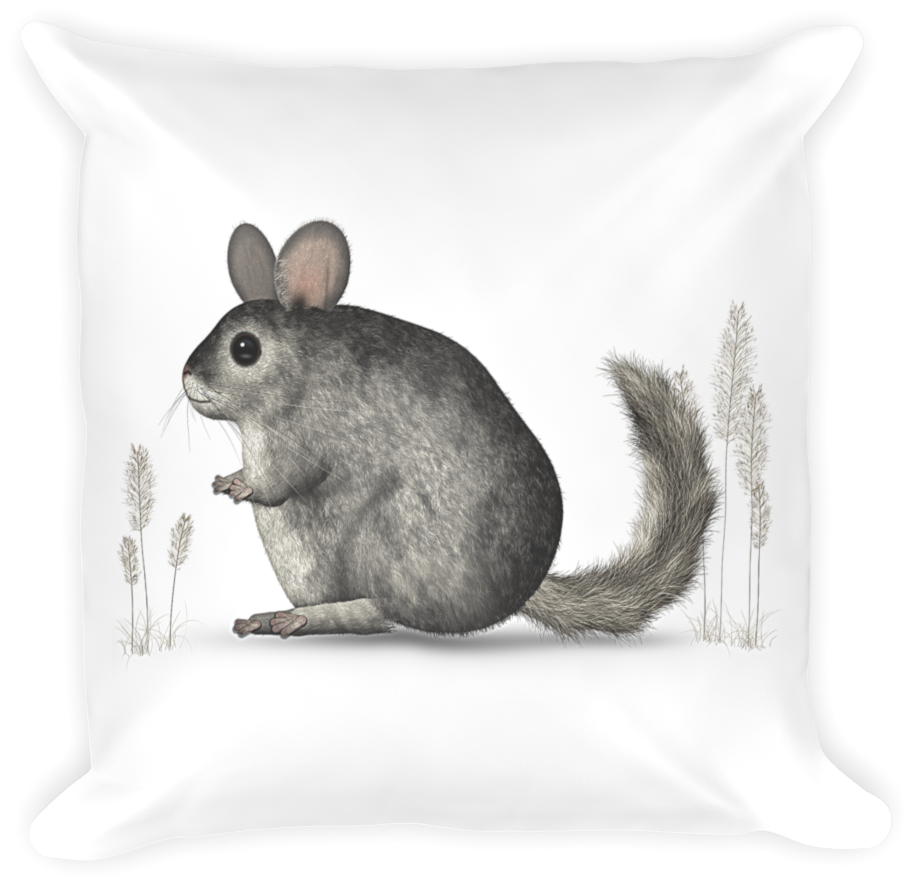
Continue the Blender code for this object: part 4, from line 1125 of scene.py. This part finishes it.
def whole_outline(step):
    """The seam's closed outline at even steps, in millimetres, and its outward direction in plan."""
    loop = np.vstack([OUTLINE[name][:-1] for name in ("top", "right", "bottom", "left")])
    loop = np.vstack([loop, loop[:1]])
    d = np.r_[0.0, np.cumsum(np.linalg.norm(np.diff(loop, axis=0), axis=1))]
    count = round(d[-1] / step)
    s = np.arange(count) * d[-1] / count
    p = np.stack([np.interp(s, d, loop[:, k]) for k in range(3)], axis=-1)
    for _ in range(3):
        p = (np.roll(p, 1, axis=0) + 2 * p + np.roll(p, -1, axis=0)) / 4
    along = np.roll(p, -1, axis=0) - np.roll(p, 1, axis=0)
    out = np.stack([-along[:, 1], along[:, 0], np.zeros(count)], axis=-1)
    return p, out / np.linalg.norm(out, axis=1, keepdims=True), s


def seam_edge(name):
    """The turned edge of the seam: a thin flattened roll that runs round the cover, drawn in a little at each stitch."""
    p, out, s = whole_outline(1.0)
    sides = 14
    a = 2 * math.pi * np.arange(sides) / sides
    rng = np.random.default_rng(5)
    wander = np.interp(s, np.linspace(0, s[-1], 240), rng.uniform(-1, 1, 240), period=s[-1])
    stitch = 0.5 + 0.5 * np.cos(2 * math.pi * s / 3.1)
    wide = LIP_HALF_WIDTH * (1 + 0.05 * wander - 0.05 * stitch)
    high = LIP_HALF_HEIGHT * (1 + 0.10 * wander - 0.10 * stitch)
    across, up = np.cos(a)[None, :] * wide[:, None], np.sin(a)[None, :] * high[:, None]
    c, s_ = math.cos(math.radians(LIP_TILT)), math.sin(math.radians(LIP_TILT))
    ring = p[:, None, :] + out[:, None, :] * (c * across + s_ * up - wide[:, None])[..., None]
    ring[..., 2] += SEAM_HEIGHT + c * up - s_ * across
    count = len(p)
    i, j = np.meshgrid(np.arange(count), np.arange(sides), indexing="ij")
    at = lambda i, j: (i % count) * sides + j % sides
    q = np.stack([at(i, j), at(i, j + 1), at(i + 1, j + 1), at(i + 1, j)], axis=-1).reshape(-1, 4)
    mesh = bpy.data.meshes.new(name)
    mesh.from_pydata((ring.reshape(-1, 3) * MM).tolist(), [], q.tolist())
    mesh.shade_smooth()
    cloth = mesh.attributes.new("cloth_mm", "FLOAT_VECTOR", "POINT")
    round_mm = np.stack([np.broadcast_to(s[:, None], ring.shape[:2]), np.broadcast_to(a * 1.1, ring.shape[:2]), np.zeros(ring.shape[:2])], axis=-1)
    cloth.data.foreach_set("vector", round_mm.astype(np.float32).ravel())
    bake = mesh.uv_layers.new(name="OFBake")
    bands = 24   # the long thin strip is cut into bands that lie side by side on the map
    share = (i * bands / count).ravel()
    band = np.floor(share)
    left = share - band
    right = left + bands / count
    low = (band + 0.1 + 0.8 * j.ravel() / sides) / bands
    top = (band + 0.1 + 0.8 * (j.ravel() + 1) / sides) / bands
    uv = np.stack([np.stack([left, low], -1), np.stack([left, top], -1), np.stack([right, top], -1), np.stack([right, low], -1)], axis=1)
    bake.data.foreach_set("uv", np.clip(0.003 + 0.994 * uv, 0, 1).astype(np.float32).ravel())
    piece = bpy.data.objects.new(name, mesh)
    bpy.context.scene.collection.objects.link(piece)
    return piece


# ---------------------------------------------------------------- the cloth's material
TWILL_PITCH = 1.05     # millimetres from one diagonal rib to the next


def cloth_material(name, inked):
    """White satin-faced polyester: fine diagonal ribs, slightly uneven yarns, a soft sheen, and the ink if it is printed."""
    material = bpy.data.materials.new(name)
    material.use_nodes = True
    nodes, links = material.node_tree.nodes, material.node_tree.links
    shader = nodes["Principled BSDF"]

    def node(kind, **settings):
        made = nodes.new(kind)
        for key, value in settings.items():
            setattr(made, key, value)
        return made

    def value(socket, number):
        socket.default_value = number

    place = node("ShaderNodeAttribute", attribute_name="cloth_mm")
    turn = node("ShaderNodeVectorRotate", rotation_type="Z_AXIS")
    value(turn.inputs["Angle"], math.radians(45))
    links.new(place.outputs["Vector"], turn.inputs["Vector"])

    # the ribs wander a little with the yarns
    drift = node("ShaderNodeTexNoise")
    value(drift.inputs["Scale"], 0.12)
    value(drift.inputs["Detail"], 2.0)
    links.new(place.outputs["Vector"], drift.inputs["Vector"])
    bend = node("ShaderNodeVectorMath", operation="MULTIPLY_ADD")
    links.new(drift.outputs["Color"], bend.inputs[0])
    bend.inputs[1].default_value = (0.7, 0.7, 0.0)
    links.new(turn.outputs["Vector"], bend.inputs[2])
    ribs = node("ShaderNodeTexWave", wave_type="BANDS", bands_direction="X", wave_profile="SIN")
    value(ribs.inputs["Scale"], 2 * math.pi / (20 * TWILL_PITCH))
    value(ribs.inputs["Distortion"], 0.0)
    links.new(bend.outputs["Vector"], ribs.inputs["Vector"])
    # single yarns across the ribs, and thick and thin places
    stretch = node("ShaderNodeMapping")
    stretch.inputs["Scale"].default_value = (3.2, 0.55, 1.0)
    links.new(turn.outputs["Vector"], stretch.inputs["Vector"])
    yarn = node("ShaderNodeTexNoise")
    value(yarn.inputs["Scale"], 1.0)
    value(yarn.inputs["Detail"], 3.0)
    value(yarn.inputs["Roughness"], 0.6)
    links.new(stretch.outputs["Vector"], yarn.inputs["Vector"])
    uneven = node("ShaderNodeTexNoise")
    value(uneven.inputs["Scale"], 0.035)
    value(uneven.inputs["Detail"], 3.0)
    links.new(place.outputs["Vector"], uneven.inputs["Vector"])

    relief = node("ShaderNodeMath", operation="MULTIPLY_ADD")
    links.new(yarn.outputs["Fac"], relief.inputs[0])
    value(relief.inputs[1], 0.7)
    links.new(ribs.outputs["Fac"], relief.inputs[2])
    bump = node("ShaderNodeBump")
    value(bump.inputs["Strength"], 0.30)
    value(bump.inputs["Distance"], 0.00010)
    links.new(relief.outputs[0], bump.inputs["Height"])
    links.new(bump.outputs["Normal"], shader.inputs["Normal"])

    # painted shade: the cloth's colour is darkened a little where the ribs and yarns sink, as the weave's grooves would
    # be shaded
    shade = node("ShaderNodeMapRange")
    for socket, number in (("From Min", 0.0), ("From Max", 1.7), ("To Min", 0.965), ("To Max", 1.0)):
        value(shade.inputs[socket], number)
    links.new(relief.outputs[0], shade.inputs["Value"])
    cast = node("ShaderNodeMapRange")
    for socket, number in (("From Min", 0.3), ("From Max", 0.7), ("To Min", 0.985), ("To Max", 1.0)):
        value(cast.inputs[socket], number)
    links.new(uneven.outputs["Fac"], cast.inputs["Value"])
    both = node("ShaderNodeMath", operation="MULTIPLY")
    links.new(shade.outputs["Result"], both.inputs[0])
    links.new(cast.outputs["Result"], both.inputs[1])
    white = node("ShaderNodeMix", data_type="RGBA", blend_type="MULTIPLY")
    value(white.inputs["Factor"], 1.0)
    white.inputs["A"].default_value = (*CLOTH_COLOUR, 1.0)
    links.new(both.outputs[0], white.inputs["B"])
    colour = white.outputs["Result"]
    if inked:
        ink = node("ShaderNodeAttribute", attribute_name="ink")
        dyed = node("ShaderNodeMix", data_type="RGBA", blend_type="MULTIPLY")
        value(dyed.inputs["Factor"], 1.0)
        links.new(colour, dyed.inputs["A"])
        links.new(ink.outputs["Color"], dyed.inputs["B"])
        colour = dyed.outputs["Result"]
    links.new(colour, shader.inputs["Base Color"])

    rough = node("ShaderNodeMapRange")
    for socket, number in (("From Min", 0.0), ("From Max", 1.7), ("To Min", 0.62), ("To Max", 0.50)):
        value(rough.inputs[socket], number)
    links.new(relief.outputs[0], rough.inputs["Value"])
    links.new(rough.outputs["Result"], shader.inputs["Roughness"])
    value(shader.inputs["Specular IOR Level"], 0.35)
    value(shader.inputs["Sheen Weight"], 0.12)
    value(shader.inputs["Sheen Roughness"], 0.4)
    return material


CLOTH_COLOUR = (0.80, 0.80, 0.80)


# ---------------------------------------------------------------- the stage
PIXEL = 0.522 * MM     # what one pixel of the 913 by 882 frame covers at the seam's height
LENS = 200.0


def stage(pieces):
    scene = bpy.context.scene
    scene.view_settings.view_transform = "Standard"
    scene.view_settings.exposure = 0.0

    mesh = bpy.data.meshes.new("floor")
    mesh.from_pydata([(-4, -4, 0), (4, -4, 0), (4, 4, 0), (-4, 4, 0)], [], [(0, 1, 2, 3)])
    floor = bpy.data.objects.new("floor", mesh)
    scene.collection.objects.link(floor)
    pale = bpy.data.materials.new("floor_white")
    pale.use_nodes = True
    shader = pale.node_tree.nodes["Principled BSDF"]
    shader.inputs["Base Color"].default_value = (FLOOR_TONE, FLOOR_TONE, FLOOR_TONE, 1.0)
    shader.inputs["Roughness"].default_value = 1.0
    shader.inputs["Specular IOR Level"].default_value = 0.0
    shader.inputs["Emission Color"].default_value = (1.0, 1.0, 1.0, 1.0)
    shader.inputs["Emission Strength"].default_value = FLOOR_GLOW
    mesh.materials.append(pale)
    floor.visible_diffuse = False   # like a sweep lit from behind, it throws no light up at the sides

    world = bpy.data.worlds.new("studio")
    scene.world = world
    world.use_nodes = True
    background = world.node_tree.nodes["Background"]
    background.inputs["Color"].default_value = (1.0, 1.0, 1.0, 1.0)
    background.inputs["Strength"].default_value = AMBIENT

    # one wide light from overhead for the pillow, and one for the sweep, which has an even glow of shade all round
    for name, energy, angle, lean, lit in (("overhead", KEY, KEY_ANGLE, KEY_LEAN, pieces), ("sweep_light", SWEEP_KEY, SWEEP_ANGLE, (0.0, 0.0), [floor])):
        light = bpy.data.lights.new(name, "SUN")
        light.energy = energy
        light.angle = math.radians(angle)
        lamp = bpy.data.objects.new(name, light)
        scene.collection.objects.link(lamp)
        lamp.rotation_euler = Vector((*lean, 1.0)).to_track_quat("Z", "Y").to_euler()
        reached = bpy.data.collections.new(name)
        for thing in lit:
            reached.objects.link(thing)
        lamp.light_linking.receiver_collection = reached

    camera = bpy.data.cameras.new("camera")
    camera.lens = LENS
    camera.sensor_width = 36.0
    camera.sensor_fit = "HORIZONTAL"
    camera.clip_start, camera.clip_end = 0.05, 50.0
    eye = bpy.data.objects.new("camera", camera)
    scene.collection.objects.link(eye)
    eye.location = (0.0, 0.0, SEAM_HEIGHT * MM + 913 * PIXEL * LENS / 36.0)
    scene.camera = eye


FLOOR_TONE = 0.44
FLOOR_GLOW = 0.455
AMBIENT = 0.202
KEY = 3.68
KEY_ANGLE = 34.0
KEY_LEAN = (-0.087, -0.086)
SWEEP_KEY = 3.50
SWEEP_ANGLE = 35.0


# ---------------------------------------------------------------- everything together
def main():
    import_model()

    front, back = settled_changes()
    u = places_along(PRINT_WIDTH, INK_FROM_SIDE, INK_STEP, PLAIN_STEP)
    v = places_along(PRINT_HEIGHT, INK_FROM_END, INK_STEP, PLAIN_STEP)
    top = grid_mesh("cover_front_panel", laid_out(front, 0, u, v) * MM, u, v)
    w = np.linspace(0, 1, round(PRINT_WIDTH / BACK_STEP))
    under = grid_mesh("cover_back_panel", laid_out(back, 1, w, w) * MM, w, w, turned=True)
    edge = seam_edge("cover_seam_edge")

    ink = paint_ink(u, v)
    dye = top.data.attributes.new("ink", "FLOAT_COLOR", "POINT")
    dye.data.foreach_set("color", np.concatenate([ink, np.ones((*ink.shape[:2], 1))], axis=-1).astype(np.float32).ravel())

    printed, plain = cloth_material("printed_cover", True), cloth_material("plain_cover", False)
    top.data.materials.append(printed)
    under.data.materials.append(plain)
    edge.data.materials.append(plain)
    for piece, nodes in ((top, ("cover_front", "insert")), (under, ("cover_back",)), (edge, ())):
        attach(piece, "root")
        if nodes:
            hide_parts(*nodes)

    stage((top, under, edge))


main()
